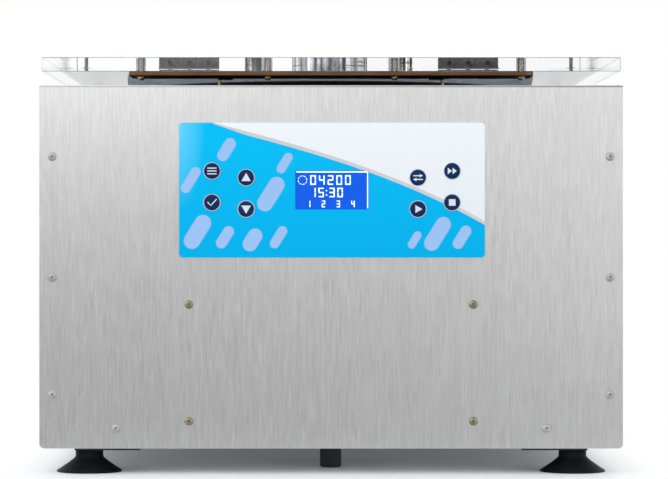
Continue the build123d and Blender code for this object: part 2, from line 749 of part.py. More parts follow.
def make_display_module():
    """Display block: its glass stands in the panel's window and its frame lies behind the panel."""
    glass = plate_y(DISPLAY_W, DISPLAY_H, SHEET, DISPLAY_CORNER_R, OVERLAY_X, FRONT_Y, OVERLAY_Z)
    frame_w = DISPLAY_W + 2 * DISPLAY_RIM
    frame_h = DISPLAY_H + 2 * DISPLAY_RIM
    frame = plate_y(frame_w, frame_h, DISPLAY_DEPTH, DISPLAY_RIM_R, OVERLAY_X, PANEL_BACK_Y, OVERLAY_Z)
    module = glass + frame
    for x, z in at_corners(frame_w / 2 - DISPLAY_FOOT_INSET, frame_h / 2 - DISPLAY_FOOT_INSET):
        module += rod_y(OVERLAY_X + x, OVERLAY_Z + z, PANEL_BACK_Y + DISPLAY_DEPTH, BOARD_Y, DISPLAY_FOOT_R)
    return module


def make_control_board():
    """Circuit board with a push switch under each key and its plugs and chips behind."""
    back_y = BOARD_Y + BOARD_T
    board = pad_y(OVERLAY_X, OVERLAY_Z, BOARD_W, BOARD_H, BOARD_Y, back_y)
    tip_y = KEY_BACK_Y + KEY_TRAVEL + SWITCH_GAP
    for x, z in key_places():
        board += pad_y(x, z, SWITCH_SIDE, SWITCH_SIDE, tip_y + SWITCH_TIP_L, BOARD_Y)
        board += rod_y(x, z, tip_y, tip_y + SWITCH_TIP_L, SWITCH_TIP_R)
    board += pad_y(OVERLAY_X, OVERLAY_Z - CHIP_DROP, CHIP_W, CHIP_H, back_y, back_y + CHIP_T)
    for s in (-1, 1):
        board += pad_y(OVERLAY_X + s * PLUG_X, OVERLAY_Z - PLUG_DROP, PLUG_W, PLUG_H, back_y, back_y + PLUG_T)
    return board


def make_key(x, z):
    """Round push key: a cap in the panel's hole, a keeper flange behind it and a short stem."""
    front = OVERLAY_Y - KEY_PROUD
    flange_back = KEY_FLANGE_Y + KEY_FLANGE_T
    profile = [
        (0, front), (KEY_R - KEY_EDGE, front), (KEY_R, front + KEY_EDGE), (KEY_R, KEY_FLANGE_Y),
        (KEY_FLANGE_R, KEY_FLANGE_Y), (KEY_FLANGE_R, flange_back), (KEY_STEM_R, flange_back),
        (KEY_STEM_R, KEY_BACK_Y), (0, KEY_BACK_Y),
    ]
    return turned_y(profile, OVERLAY_X + x, 0, OVERLAY_Z + z)


# Motor drive pieces


def make_drive_heatsink():
    """Finned plate that carries the drive board, on four posts behind the front panel."""
    half = DRIVE_SCREW_X + DRIVE_MARGIN
    low = DRIVE_LOW_Z - DRIVE_MARGIN
    high = DRIVE_HIGH_Z + DRIVE_MARGIN
    fin_y = DRIVE_PLATE_Y + DRIVE_PLATE_T
    sink = block(-half, half, DRIVE_PLATE_Y, fin_y, low, high)
    for x, z in drive_screw_places():
        sink += rod_y(x, z, PANEL_BACK_Y, DRIVE_PLATE_Y, DRIVE_POST_R)
        sink -= rod_y(x, z, PANEL_BACK_Y, DRIVE_PLATE_Y, SCREW_R)
    for k in range(DRIVE_FIN_COUNT):
        x = half - DRIVE_FIN_INSET - k * DRIVE_FIN_PITCH
        sink += block(x - DRIVE_FIN_T, x, fin_y, fin_y + DRIVE_FIN_DEPTH, low, high)
    return sink


def make_drive_board():
    """Power board with its capacitors and choke, beside the fins."""
    plate_back_y = DRIVE_PLATE_Y + DRIVE_PLATE_T
    board_y = plate_back_y + DRIVE_BOARD_GAP
    back_y = board_y + DRIVE_BOARD_T
    mid_x = DRIVE_BOARD_W / 2 - DRIVE_SCREW_X
    board = pad_y(mid_x, DRIVE_MID_Z, DRIVE_BOARD_W, DRIVE_BOARD_H, board_y, back_y)
    corner_x = DRIVE_BOARD_W / 2 - DRIVE_STAND_INSET
    corner_z = DRIVE_BOARD_H / 2 - DRIVE_STAND_INSET
    for x, z in at_corners(corner_x, corner_z):
        board += rod_y(mid_x + x, DRIVE_MID_Z + z, plate_back_y, board_y, DRIVE_STAND_R)
    for x in in_row(2, CAPACITOR_PITCH):
        z = DRIVE_MID_Z + CAPACITOR_RISE
        board += rod_y(mid_x - CAPACITOR_X + x, z, back_y, back_y + CAPACITOR_L, CAPACITOR_R)
    choke_z = DRIVE_MID_Z + CHOKE_RISE
    board += pad_y(mid_x + CHOKE_X, choke_z, CHOKE_SIDE, CHOKE_SIDE, back_y, back_y + CHOKE_DEPTH)
    board += pad_y(mid_x, DRIVE_MID_Z - STRIP_DROP, STRIP_W, STRIP_H, back_y, back_y + STRIP_DEPTH)
    return board


# Chamber pieces


def make_chamber_bowl():
    """Spun bowl: a rim on the deck, straight wall, rounded floor and a hole for the motor's nose."""
    out_r = BOWL_R + SHEET
    out_z = BOWL_FLOOR_Z - SHEET
    bend = BOWL_CORNER_R
    big = bend + SHEET
    sag = 1 - math.sqrt(0.5)
    inner_arc = (BOWL_R - bend * sag, BOWL_FLOOR_Z + bend * sag)
    outer_arc = (out_r - big * sag, out_z + big * sag)
    wall = [
        Line((BOOT_WAIST_R, BOWL_FLOOR_Z), (BOWL_R - bend, BOWL_FLOOR_Z)),
        ThreePointArc((BOWL_R - bend, BOWL_FLOOR_Z), inner_arc, (BOWL_R, BOWL_FLOOR_Z + bend)),
        Line((BOWL_R, BOWL_FLOOR_Z + bend), (BOWL_R, RIM_TOP_Z)),
        Line((BOWL_R, RIM_TOP_Z), (BOWL_RIM_R, RIM_TOP_Z)),
        Line((BOWL_RIM_R, RIM_TOP_Z), (BOWL_RIM_R, DECK_Z)),
        Line((BOWL_RIM_R, DECK_Z), (out_r, DECK_Z)),
        Line((out_r, DECK_Z), (out_r, out_z + big)),
        ThreePointArc((out_r, out_z + big), outer_arc, (out_r - big, out_z)),
        Line((out_r - big, out_z), (BOOT_WAIST_R, out_z)),
        Line((BOOT_WAIST_R, out_z), (BOOT_WAIST_R, BOWL_FLOOR_Z)),
    ]
    face = Plane.XZ * make_face(Curve() + wall)
    return Pos(0, CHAMBER_Y, 0) * revolve(face, Axis.Z)


def make_chamber_gasket():
    """Black rubber ring round the chamber mouth, under the lid."""
    top = GASKET_TOP_Z
    mid = (GASKET_IN_R + GASKET_OUT_R) / 2
    profile = [
        (GASKET_IN_R, RIM_TOP_Z), (BOWL_RIM_R, RIM_TOP_Z), (BOWL_RIM_R, DECK_Z), (GASKET_OUT_R, DECK_Z),
        (GASKET_OUT_R, top - GASKET_LIP), (GASKET_OUT_R - GASKET_LIP, top), (mid, top - GASKET_DIP),
        (GASKET_IN_R + GASKET_LIP, top), (GASKET_IN_R, top - GASKET_LIP),
    ]
    return turned(profile, 0, CHAMBER_Y)


def make_guard_ring():
    """Steel armour ring round the bowl, hung from the deck."""
    ring = rod_z(0, CHAMBER_Y, GUARD_BOTTOM_Z, DECK_UNDER_Z, GUARD_IN_R + GUARD_T)
    return ring - rod_z(0, CHAMBER_Y, GUARD_BOTTOM_Z, DECK_UNDER_Z, GUARD_IN_R)


def make_shaft_boot():
    """Rubber boot that closes the bowl's hole round the motor's nose."""
    under = BOWL_FLOOR_Z - SHEET
    lip_top = BOWL_FLOOR_Z + BOOT_LIP
    profile = [
        (NOSE_R, under - 2 * BOOT_LIP), (BOOT_OUT_R, under - BOOT_LIP), (BOOT_OUT_R, under),
        (BOOT_WAIST_R, under), (BOOT_WAIST_R, BOWL_FLOOR_Z), (BOOT_OUT_R, BOWL_FLOOR_Z),
        (BOOT_OUT_R - BOOT_EDGE, lip_top),
        (NOSE_R, lip_top + BOOT_EDGE),
    ]
    return turned(profile, 0, CHAMBER_Y)


# Motor pieces


def mount_places():
    """The four rubber mounts under the motor frame's legs."""
    reach = (MOTOR_FRAME_SIDE - LEG_W) / 2
    return [(x, CHAMBER_Y + y) for x, y in at_corners(reach, reach)]


def make_rubber_mounts():
    """Bonded rubber mounts between the cabinet floor and the motor frame."""
    profile = [
        (0, 0), (MOUNT_R, 0), (MOUNT_R, MOUNT_END), (MOUNT_R - MOUNT_WAIST, MOUNT_H / 2),
        (MOUNT_R, MOUNT_H - MOUNT_END), (MOUNT_R, MOUNT_H), (0, MOUNT_H),
    ]
    return group(turned(profile, x, y, FLOOR_Z) for x, y in mount_places())


def make_motor_frame():
    """Thick plate on four legs, with a round hole that the motor hangs in."""
    half = MOTOR_FRAME_SIDE / 2
    frame = block(-half, half, CHAMBER_Y - half, CHAMBER_Y + half, MOTOR_FRAME_Z, MOTOR_TOP_Z)
    frame -= rod_z(0, CHAMBER_Y, MOTOR_FRAME_Z, MOTOR_TOP_Z, MOTOR_R + MOTOR_FRAME_FIT)
    foot_z = FLOOR_Z + MOUNT_H
    tall = MOTOR_FRAME_Z - foot_z
    offset = (LEG_W - LEG_WALL) / 2
    for x, y in mount_places():
        outer_x = x + math.copysign(offset, x)
        outer_y = y + math.copysign(offset, y - CHAMBER_Y)
        frame += Pos(outer_x, y, foot_z + tall / 2) * Box(LEG_WALL, LEG_W, tall)
        frame += Pos(x, outer_y, foot_z + tall / 2) * Box(LEG_W, LEG_WALL, tall)
        frame += Pos(x, y, foot_z + LEG_WALL / 2) * Box(LEG_W, LEG_W, LEG_WALL)
    return frame


def make_motor_housing():
    """Motor can, closed below, with its wound core shrunk inside."""
    inner_r = MOTOR_R - MOTOR_WALL
    bore = SHAFT_R + SHAFT_PASS
    cup_r = BEARING_OUT_R + BEARING_CUP
    cup_top = LOW_BEARING_Z + BEARING_W
    core_r = ARMATURE_R + ARMATURE_GAP
    core_top = STATOR_Z + STATOR_H
    profile = [
        (bore, MOTOR_BOTTOM_Z), (MOTOR_R - MOTOR_EDGE, MOTOR_BOTTOM_Z),
        (MOTOR_R, MOTOR_BOTTOM_Z + MOTOR_EDGE), (MOTOR_R, MOTOR_TOP_Z),
        (inner_r, MOTOR_TOP_Z), (inner_r, core_top), (core_r, core_top),
        (core_r, STATOR_Z), (inner_r, STATOR_Z), (inner_r, LOW_BEARING_Z), (cup_r, LOW_BEARING_Z),
        (cup_r, cup_top), (BEARING_OUT_R, cup_top), (BEARING_OUT_R, LOW_BEARING_Z), (bore, LOW_BEARING_Z),
    ]
    return turned(profile, 0, CHAMBER_Y)


def make_motor_end_bell():
    """Flange on the motor frame, with a tall nose that holds the upper bearing."""
    bore = SHAFT_R + SHAFT_PASS
    flange_top = MOTOR_TOP_Z + MOTOR_FLANGE_T
    profile = [
        (bore, MOTOR_TOP_Z), (MOTOR_FLANGE_R, MOTOR_TOP_Z), (MOTOR_FLANGE_R, flange_top),
        (NOSE_R + NOSE_FOOT, flange_top), (NOSE_R, flange_top + NOSE_SLOPE), (NOSE_R, NOSE_TOP_Z - NOSE_EDGE),
        (NOSE_R - NOSE_EDGE, NOSE_TOP_Z), (BEARING_OUT_R, NOSE_TOP_Z), (BEARING_OUT_R, HIGH_BEARING_Z),
        (bore, HIGH_BEARING_Z),
    ]
    return turned(profile, 0, CHAMBER_Y)


def make_motor_bearings():
    """Lower and upper ball bearings of the motor."""
    bore = SHAFT_R + SHAFT_CLEAR
    profile = [(bore, 0), (BEARING_OUT_R, 0), (BEARING_OUT_R, BEARING_W), (bore, BEARING_W)]
    return group(turned(profile, 0, CHAMBER_Y, z) for z in (LOW_BEARING_Z, HIGH_BEARING_Z))


def make_motor_shaft():
    """Shaft through both bearings, with a collar for the rotor head and a thread for its knob."""
    collar_top = NOSE_TOP_Z + SHAFT_COLLAR_RISE
    tip = HEAD_TOP_Z + KNOB_H - KNOB_ROOF
    profile = [
        (0, LOW_BEARING_Z), (SHAFT_R, LOW_BEARING_Z), (SHAFT_R, NOSE_TOP_Z + NOSE_EDGE),
        (SHAFT_COLLAR_R, collar_top), (SHAFT_COLLAR_R, SHOULDER_Z), (SHAFT_R, SHOULDER_Z),
        (SHAFT_R, HEAD_TOP_Z), (STUD_R, HEAD_TOP_Z), (STUD_R, tip), (0, tip),
    ]
    return turned(profile, 0, CHAMBER_Y)


def make_motor_armature():
    """Laminated core pressed on the shaft, inside the motor."""
    core = rod_z(0, CHAMBER_Y, STATOR_Z, STATOR_Z + STATOR_H, ARMATURE_R)
    return core - rod_z(0, CHAMBER_Y, STATOR_Z, STATOR_Z + STATOR_H, SHAFT_R)


# Rotor pieces


def make_rotor_head():
    """Cross-shaped head: a thick disc with four open U slots, on a hub."""
    head = Pos(0, 0, TRUNNION_Z - HEAD_T / 2) * extrude(head_outline(), HEAD_T)
    head += rod_z(0, 0, SHOULDER_Z, TRUNNION_Z, HUB_R)
    head -= rod_z(0, 0, SHOULDER_Z, HEAD_TOP_Z, SHAFT_R)
    depth = HEAD_SLOT_R + TRUNNION_SEAT
    for k in range(4):
        for s in (-1, 1):
            near, far = sorted((s * HEAD_SLOT_R, s * depth))
            head -= Rot(0, 0, 90 * k) * rod_y(TRUNNION_REACH, TRUNNION_Z, near, far, TRUNNION_R)
    return Pos(0, CHAMBER_Y, 0) * head


def head_outline():
    """Plan of the rotor head."""
    outline = Circle(HEAD_R)
    for k in range(4):
        arm = Pos(HEAD_SLOT_CENTRE, 0) * Circle(HEAD_SLOT_R)
        arm += Pos(HEAD_SLOT_CENTRE + HEAD_R / 2, 0) * Rectangle(HEAD_R, 2 * HEAD_SLOT_R)
        outline -= Rot(0, 0, 90 * k) * arm
    return outline


def make_trunnion_pins():
    """Eight pins in the head's arms, two for each bucket, each reaching into a bucket's ear."""
    tip = EAR_REACH - TRUNNION_DEPTH
    pins = []
    for k in range(4):
        turn = Pos(0, CHAMBER_Y, 0) * Rot(0, 0, 90 * k)
        for s in (-1, 1):
            near, far = sorted((s * tip, s * (HEAD_SLOT_R + TRUNNION_SEAT)))
            pins.append(turn * rod_y(TRUNNION_REACH, TRUNNION_Z, near, far, TRUNNION_R))
    return group(pins)


def make_rotor_knob():
    """Fluted knob that holds the head down on the shaft."""
    knob = Cylinder(KNOB_R, KNOB_H)
    knob = fillet(knob.edges().group_by(Axis.Z)[-1], KNOB_EDGE_R)
    for k in range(KNOB_FLUTES):
        knob -= Rot(0, 0, 360 / KNOB_FLUTES * k) * Pos(KNOB_R + FLUTE_OUT, 0, 0) * Cylinder(FLUTE_R, KNOB_H)
    knob -= Pos(0, 0, -KNOB_ROOF / 2) * Cylinder(STUD_R, KNOB_H - KNOB_ROOF)
    return Pos(0, CHAMBER_Y, HEAD_TOP_Z + KNOB_H / 2) * knob


def make_bucket(turn_deg):
    """Swing-out bucket: a cup with a thick rim and two slotted ears that hang on the trunnions."""
    inner = BUCKET_R - BUCKET_WALL
    low = -BUCKET_DROP
    floor = low + BUCKET_FLOOR
    rim_low = BUCKET_RISE - BUCKET_RIM_H
    profile = [
        (0, low), (BUCKET_R - BUCKET_BEVEL, low), (BUCKET_R, low + BUCKET_BEVEL),
        (BUCKET_R, rim_low - BUCKET_RIM_SLOPE), (BUCKET_RIM_R, rim_low), (BUCKET_RIM_R, BUCKET_RISE),
        (inner, BUCKET_RISE), (inner, floor + BUCKET_INNER_BEVEL), (inner - BUCKET_INNER_BEVEL, floor),
        (0, floor),
    ]
    bucket = turned(profile)
    hollow = rod_z(0, 0, low, BUCKET_RISE, inner)
    slot_r = TRUNNION_R + TRUNNION_CLEAR
    for s in (-1, 1):
        near, far = sorted((s * EAR_ROOT, s * EAR_REACH))
        bucket += rod_y(0, 0, near, far, EAR_R) - hollow
        near, far = sorted((s * (EAR_REACH - EAR_SLOT), s * EAR_REACH))
        bucket -= rod_y(0, 0, near, far, slot_r)
        bucket -= block(-slot_r, slot_r, near, far, -EAR_R, 0)
    place = Pos(0, CHAMBER_Y, 0) * Rot(0, 0, turn_deg) * Pos(TRUNNION_REACH, 0, TRUNNION_Z)
    return place * bucket


# Lid pieces


def make_lid_panel():
    """Clear slab that covers the deck, drilled for its bolts, screws, stays and port."""
    half = HALF_W - LID_INSET
    slab = block(-half, half, LID_FRONT_Y, HINGE_Y, LID_Z, LID_TOP_Z)
    slab = chamfer(slab.edges(), LID_EDGE)
    for x in bolt_places():
        slab -= rod_z(x, BOLT_Y, LID_Z, LID_TOP_Z, BOLT_BARREL_R)
    for x in hinge_screw_places():
        slab -= rod_y(x, LID_SCREW_Z, HINGE_Y - HINGE_SCREW_DEPTH, HINGE_Y, HINGE_SCREW_R)
    for s in (-1, 1):
        slab -= rod_z(s * STAY_X, STAY_BOSS_Y, LID_Z, LID_TOP_Z, STAY_W / 2)
        screw_top = LID_TOP_Z - BUMPER_SCREW_COVER
        slab -= rod_z(s * bumper_x(), REAR_Y - BUMPER_INSET, LID_Z, screw_top, BUMPER_SCREW_R)
    slab -= rod_z(0, CHAMBER_Y, LID_Z, LID_TOP_Z, PORT_R)
    return slab


def bumper_x():
    """How far the rubber buffers stand from the middle."""
    return HALF_W - BUMPER_SIDE_INSET


def make_latch_bar():
    """Bronze-coloured bar along the lid's front edge."""
    outline = RectangleRounded(BAR_W, BAR_D, BAR_CORNER_R)
    bar = Pos(0, LID_FRONT_Y + BAR_D / 2, BAR_UNDER_Z) * extrude(outline, BAR_T)
    for x in bolt_places():
        bar -= rod_z(x, BOLT_Y, BAR_UNDER_Z, LID_Z, BOLT_STUD_R)
    return bar


def make_lid_bolts():
    """Barrel bolts flush in the slab, each with a stud through the bar and a low cap nut under it."""
    nut_low = BAR_UNDER_Z - BOLT_NUT_H
    profile = [
        (0, LID_TOP_Z), (BOLT_BARREL_R, LID_TOP_Z), (BOLT_BARREL_R, LID_Z), (BOLT_STUD_R, LID_Z),
        (BOLT_STUD_R, BAR_UNDER_Z), (BOLT_NUT_R, BAR_UNDER_Z), (BOLT_NUT_R, BAR_UNDER_Z - BOLT_NUT_H / 2),
        (BOLT_NUT_R / 2, nut_low), (0, nut_low),
    ]
    return group(turned(profile, x, BOLT_Y) for x in bolt_places())


def make_latch_hooks():
    """Two edge-on hook plates under the bar, each with a window for the lock's nose."""
    hooks = []
    half_t = HOOK_T / 2
    half_w = HOOK_W / 2
    window_z = HOOK_BOTTOM_Z + HOOK_WINDOW_RISE
    for s in (-1, 1):
        x = s * HOOK_X
        hook = block(x - half_t, x + half_t, HOOK_Y - half_w, HOOK_Y + half_w, HOOK_BOTTOM_Z, BAR_UNDER_Z)
        hook = chamfer(hook.edges().filter_by(Axis.X).group_by(Axis.Z)[0], HOOK_TIP)
        hook -= block(
            x - half_t, x + half_t,
            HOOK_Y - HOOK_WINDOW_W / 2, HOOK_Y + HOOK_WINDOW_W / 2,
            window_z, window_z + HOOK_WINDOW_H,
        )
        near, far = sorted((x, x - s * HOOK_FOOT))
        foot_y = HOOK_Y - half_w + HOOK_FOOT_SETBACK
        hook += block(near, far, foot_y, HOOK_Y + half_w, BAR_UNDER_Z - HOOK_T, BAR_UNDER_Z)
        hooks.append(hook)
    return group(hooks)


def make_lid_front_plate():
    """Thin plate bonded under the slab between the bar and the chamber gasket, cut to the gasket's arc."""
    y0 = LID_FRONT_Y + BAR_D + SEAM
    y1 = y0 + FRONT_PLATE_DEPTH
    near = FRONT_PLATE_W / 2
    far = near + FRONT_PLATE_FLARE
    outline = Polyline((-near, y0), (near, y0), (far, y1), (-far, y1), close=True)
    plate = Pos(0, 0, LID_Z - FRONT_PLATE_T) * extrude(make_face(outline), FRONT_PLATE_T)
    return plate - rod_z(0, CHAMBER_Y, LID_Z - FRONT_PLATE_T, LID_Z, GASKET_OUT_R + FRONT_PLATE_GAP)


def make_lid_port():
    """Stainless bush of the round viewing port, flush with both faces of the slab."""
    bush = rod_z(0, CHAMBER_Y, LID_Z, LID_TOP_Z, PORT_R)
    return bush - rod_z(0, CHAMBER_Y, LID_Z, LID_TOP_Z, PORT_BORE_R)


def make_lid_bumpers():
    """Rubber buffers under the slab's rear corners, each with its screw."""
    low = DECK_Z + GASKET_CLEAR
    screw_top = LID_TOP_Z - BUMPER_SCREW_COVER
    profile = [
        (0, screw_top), (BUMPER_SCREW_R, screw_top), (BUMPER_SCREW_R, LID_Z), (BUMPER_R, LID_Z),
        (BUMPER_R - BUMPER_TAPER, low), (0, low),
    ]
    return group(turned(profile, s * bumper_x(), REAR_Y - BUMPER_INSET) for s in (-1, 1))


def make_lid_screws():
    """Screws through the lid's hinge flanges into the slab's rear edge."""
    back_y = HINGE_Y + HINGE_FLANGE_T
    head_y = back_y + HINGE_SCREW_HEAD_H
    screws = []
    for x in hinge_screw_places():
        screw = rod_y(x, LID_SCREW_Z, HINGE_Y - HINGE_SCREW_DEPTH, back_y, HINGE_SCREW_R)
        screws.append(screw + rod_y(x, LID_SCREW_Z, back_y, head_y, HINGE_SCREW_HEAD_R))
    return group(screws)


# Hinge pieces


def knuckle(x0, x1, upwards, bore_r):
    """One hinge knuckle with its web up to the slab or down to the deck."""
    z0, z1 = sorted((HINGE_Z, LID_Z if upwards else DECK_Z))
    barrel = rod_x(HINGE_Y, HINGE_Z, x0, x1, HINGE_BARREL_R)
    web = block(x0, x1, HINGE_Y - HINGE_BARREL_R, HINGE_Y - KNUCKLE_RELIEF, z0, z1)
    return barrel + web - rod_x(HINGE_Y, HINGE_Z, x0, x1, bore_r)


def fixed_leaf(x0, x1, depth):
    """A flat hinge leaf on the deck."""
    return block(x0, x1, HINGE_Y - depth, HINGE_Y - HINGE_BARREL_R, DECK_Z, DECK_Z + HINGE_LEAF_T)


def moving_leaf(x0, x1, depth):
    """A hinge leaf under the slab, with a flange up behind the slab's rear edge."""
    over_z = HINGE_Z + HINGE_BARREL_R + HINGE_FLANGE_CLEAR
    back_y = HINGE_Y + HINGE_FLANGE_T
    plate = block(x0, x1, HINGE_Y - depth, HINGE_Y - HINGE_BARREL_R, LID_Z - HINGE_LEAF_T, LID_Z)
    plate += block(x0, x1, HINGE_Y - HINGE_BARREL_R, back_y, over_z, LID_Z)
    return plate + block(x0, x1, HINGE_Y, back_y, over_z, LID_TOP_Z)


def make_deck_hinge_leaves():
    """Fixed leaves of the two lid hinges, each with two outer knuckles."""
    leaves = []
    inner = KNUCKLE_W / 2 + KNUCKLE_GAP
    for s in (-1, 1):
        mid = s * HINGE_X
        x0 = mid - HINGE_W / 2
        x1 = mid + HINGE_W / 2
        plate = fixed_leaf(x0, x1, HINGE_LEAF_D)
        plate += knuckle(x0, mid - inner, False, HINGE_PIN_R)
        leaves.append(plate + knuckle(mid + inner, x1, False, HINGE_PIN_R))
    return group(leaves)


def make_lid_hinge_leaves():
    """Moving leaves of the two lid hinges, each with one middle knuckle and three screw holes."""
    leaves = []
    bore = HINGE_PIN_R + HINGE_BORE_CLEAR
    for s in (-1, 1):
        mid = s * HINGE_X
        plate = moving_leaf(mid - HINGE_W / 2, mid + HINGE_W / 2, HINGE_LEAF_D)
        plate += knuckle(mid - KNUCKLE_W / 2, mid + KNUCKLE_W / 2, True, bore)
        for k in in_row(3, HINGE_SCREW_PITCH):
            plate -= rod_y(mid + k, LID_SCREW_Z, HINGE_Y, HINGE_Y + HINGE_FLANGE_T, HINGE_SCREW_R)
        leaves.append(plate)
    return group(leaves)


def make_hinge_pins():
    """Pins of the two lid hinges."""
    half = HINGE_W / 2
    return group(
        rod_x(HINGE_Y, HINGE_Z, s * HINGE_X - half, s * HINGE_X + half, HINGE_PIN_R) for s in (-1, 1)
    )


def make_stay_bases():
    """Fixed halves of the two friction stays, each with its pivot pin."""
    bases = []
    for s in (-1, 1):
        x0 = s * STAY_X - STAY_W / 2
        x1 = s * STAY_X + STAY_W / 2
        base = fixed_leaf(x0, x1, STAY_D)
        base += knuckle(x0, s * STAY_X - KNUCKLE_GAP / 2, False, HINGE_PIN_R)
        bases.append(base + rod_x(HINGE_Y, HINGE_Z, x0, x1, HINGE_PIN_R))
    return group(bases)


def make_stay_arms():
    """Moving halves of the two friction stays, each with a round boss set in the slab."""
    arms = []
    for s in (-1, 1):
        x1 = s * STAY_X + STAY_W / 2
        arm = moving_leaf(s * STAY_X - STAY_W / 2, x1, STAY_D)
        arm += knuckle(s * STAY_X + KNUCKLE_GAP / 2, x1, True, HINGE_PIN_R + HINGE_BORE_CLEAR)
        arms.append(arm + rod_z(s * STAY_X, STAY_BOSS_Y, LID_Z, LID_TOP_Z, STAY_W / 2))
    return group(arms)


# Lock pieces


def lock_section(x0, x1, y, width, height, fit):
    """A straight bar along X at the lock's height, grown by fit on every side."""
    half_w = width / 2 + fit
    half_h = height / 2 + fit
    return block(x0, x1, y - half_w, y + half_w, LOCK_Z - half_h, LOCK_Z + half_h)


def make_lock_guides():
    """Guide blocks under the deck: a slot for each hook and a channel for the sliding bar."""
    guides = []
    low = DECK_UNDER_Z - GUIDE_H
    front = HOOK_Y - HOOK_W / 2 - GUIDE_MARGIN - GUIDE_WALL
    for s in (-1, 1):
        x0 = s * HOOK_X - GUIDE_W / 2
        x1 = s * HOOK_X + GUIDE_W / 2
        guide = block(x0, x1, front, GUIDE_BACK_Y, low, DECK_UNDER_Z)
        guide -= hook_slot(s, low, DECK_UNDER_Z)
        guide -= lock_section(x0, x1, HOOK_Y, LOCK_NOSE_W, LOCK_NOSE_H, LOCK_FIT)
        guide -= lock_section(x0, x1, LOCK_BAR_Y, LOCK_BAR_T, LOCK_BAR_H, LOCK_FIT)
        guides.append(guide)
    return group(guides)


def make_lock_bar():
    """Sliding lock bar with a nose for each hook and, at its end, the solenoid's plunger."""
    prong_gap = GUIDE_W / 2 + LOCK_TRAVEL + LOCK_END_CLEAR
    arm_end = PLUNGER_ARM_X + PLUNGER_ARM_T
    bar = lock_section(-HOOK_X - prong_gap - LOCK_PRONG_T, arm_end, LOCK_BAR_Y, LOCK_BAR_T, LOCK_BAR_H, 0)
    half_h = LOCK_NOSE_H / 2
    for s in (-1, 1):
        x1 = s * HOOK_X - prong_gap
        x0 = x1 - LOCK_PRONG_T
        tip = s * HOOK_X - GUIDE_SLOT / 2 - LOCK_NOSE_CLEAR
        bar += block(x0, x1, HOOK_Y - LOCK_NOSE_W / 2, LOCK_BAR_Y, LOCK_Z - half_h, LOCK_Z + half_h)
        bar += lock_section(x0, tip, HOOK_Y, LOCK_NOSE_W, LOCK_NOSE_H, 0)
    half_h = LOCK_BAR_H / 2
    arm_y = SOLENOID_Y + PLUNGER_ARM_REACH
    bar += block(PLUNGER_ARM_X, arm_end, LOCK_BAR_Y, arm_y, LOCK_Z - half_h, LOCK_Z + half_h)
    return bar + rod_x(SOLENOID_Y, LOCK_Z, PLUNGER_ARM_X, arm_end + PLUNGER_L, PLUNGER_R)


def make_lock_solenoid():
    """Solenoid under the deck that pushes the lock bar."""
    half_d = SOLENOID_D / 2
    body = block(
        SOLENOID_X, SOLENOID_X + SOLENOID_W,
        SOLENOID_Y - half_d, SOLENOID_Y + half_d,
        DECK_UNDER_Z - SOLENOID_H, DECK_UNDER_Z,
    )
    return body - rod_x(SOLENOID_Y, LOCK_Z, SOLENOID_X, SOLENOID_X + PLUNGER_BORE, PLUNGER_R + LOCK_FIT)


# Rear pieces


def make_power_module():
    """Power inlet with a fuse drawer, and a well for the rocker above it."""
    face_y = MODULE_FACE_Y
    inside_y = REAR_Y - MODULE_DEPTH
    body = pad_y(MODULE_X, MODULE_Z, MODULE_W - 2 * MODULE_FIT, MODULE_H - 2 * MODULE_FIT, inside_y, REAR_Y)
    flange_w = MODULE_W + 2 * MODULE_FLANGE
    flange_h = MODULE_H + 2 * MODULE_FLANGE
    body += plate_y(flange_w, flange_h, MODULE_FLANGE_T, MODULE_CORNER_R, MODULE_X, REAR_Y, MODULE_Z)
    socket_y = face_y - SOCKET_DEPTH
    body -= plate_y(SOCKET_W, SOCKET_H, SOCKET_DEPTH, SOCKET_CORNER_R, MODULE_X, socket_y, SOCKET_Z)
    for x, z in ((-BLADE_X, -BLADE_Z), (BLADE_X, -BLADE_Z), (0, BLADE_Z)):
        body += pad_y(MODULE_X + x, SOCKET_Z + z, BLADE_T, BLADE_H, socket_y, face_y - BLADE_RECESS)
    well_w = ROCKER_W + 2 * ROCKER_CLEAR
    well_h = ROCKER_H + 2 * ROCKER_CLEAR
    body -= pad_y(MODULE_X, ROCKER_Z, well_w, well_h, face_y - ROCKER_WELL, face_y)
    half_peg = ROCKER_W / 2 + ROCKER_PEG_REACH + ROCKER_PEG_CLEAR
    bore_r = ROCKER_PEG_R + ROCKER_PEG_CLEAR
    body -= rod_x(ROCKER_Y, ROCKER_Z, MODULE_X - half_peg, MODULE_X + half_peg, bore_r)
    return body + plate_y(FUSE_W, FUSE_H, FUSE_PROUD, FUSE_CORNER_R, MODULE_X, face_y, MODULE_Z)


def make_power_rocker():
    """Rocker on its two pivot pegs, lying in its off position."""
    half_h = ROCKER_H / 2
    outline = Polyline(
        (-half_h, -ROCKER_ROOT), (-half_h, ROCKER_FACE), (0, ROCKER_FACE - ROCKER_DISH),
        (half_h, ROCKER_FACE), (half_h, -ROCKER_ROOT), (0, -ROCKER_KEEL), close=True,
    )
    rocker = Rot(-90, 0, 0) * extrude(Plane.YZ * make_face(outline), ROCKER_W / 2, both=True)
    half_peg = ROCKER_W / 2 + ROCKER_PEG_REACH
    rocker += rod_x(0, 0, -half_peg, half_peg, ROCKER_PEG_R)
    return Pos(MODULE_X, ROCKER_Y, ROCKER_Z) * Rot(ROCKER_TILT / 2, 0, 0) * rocker


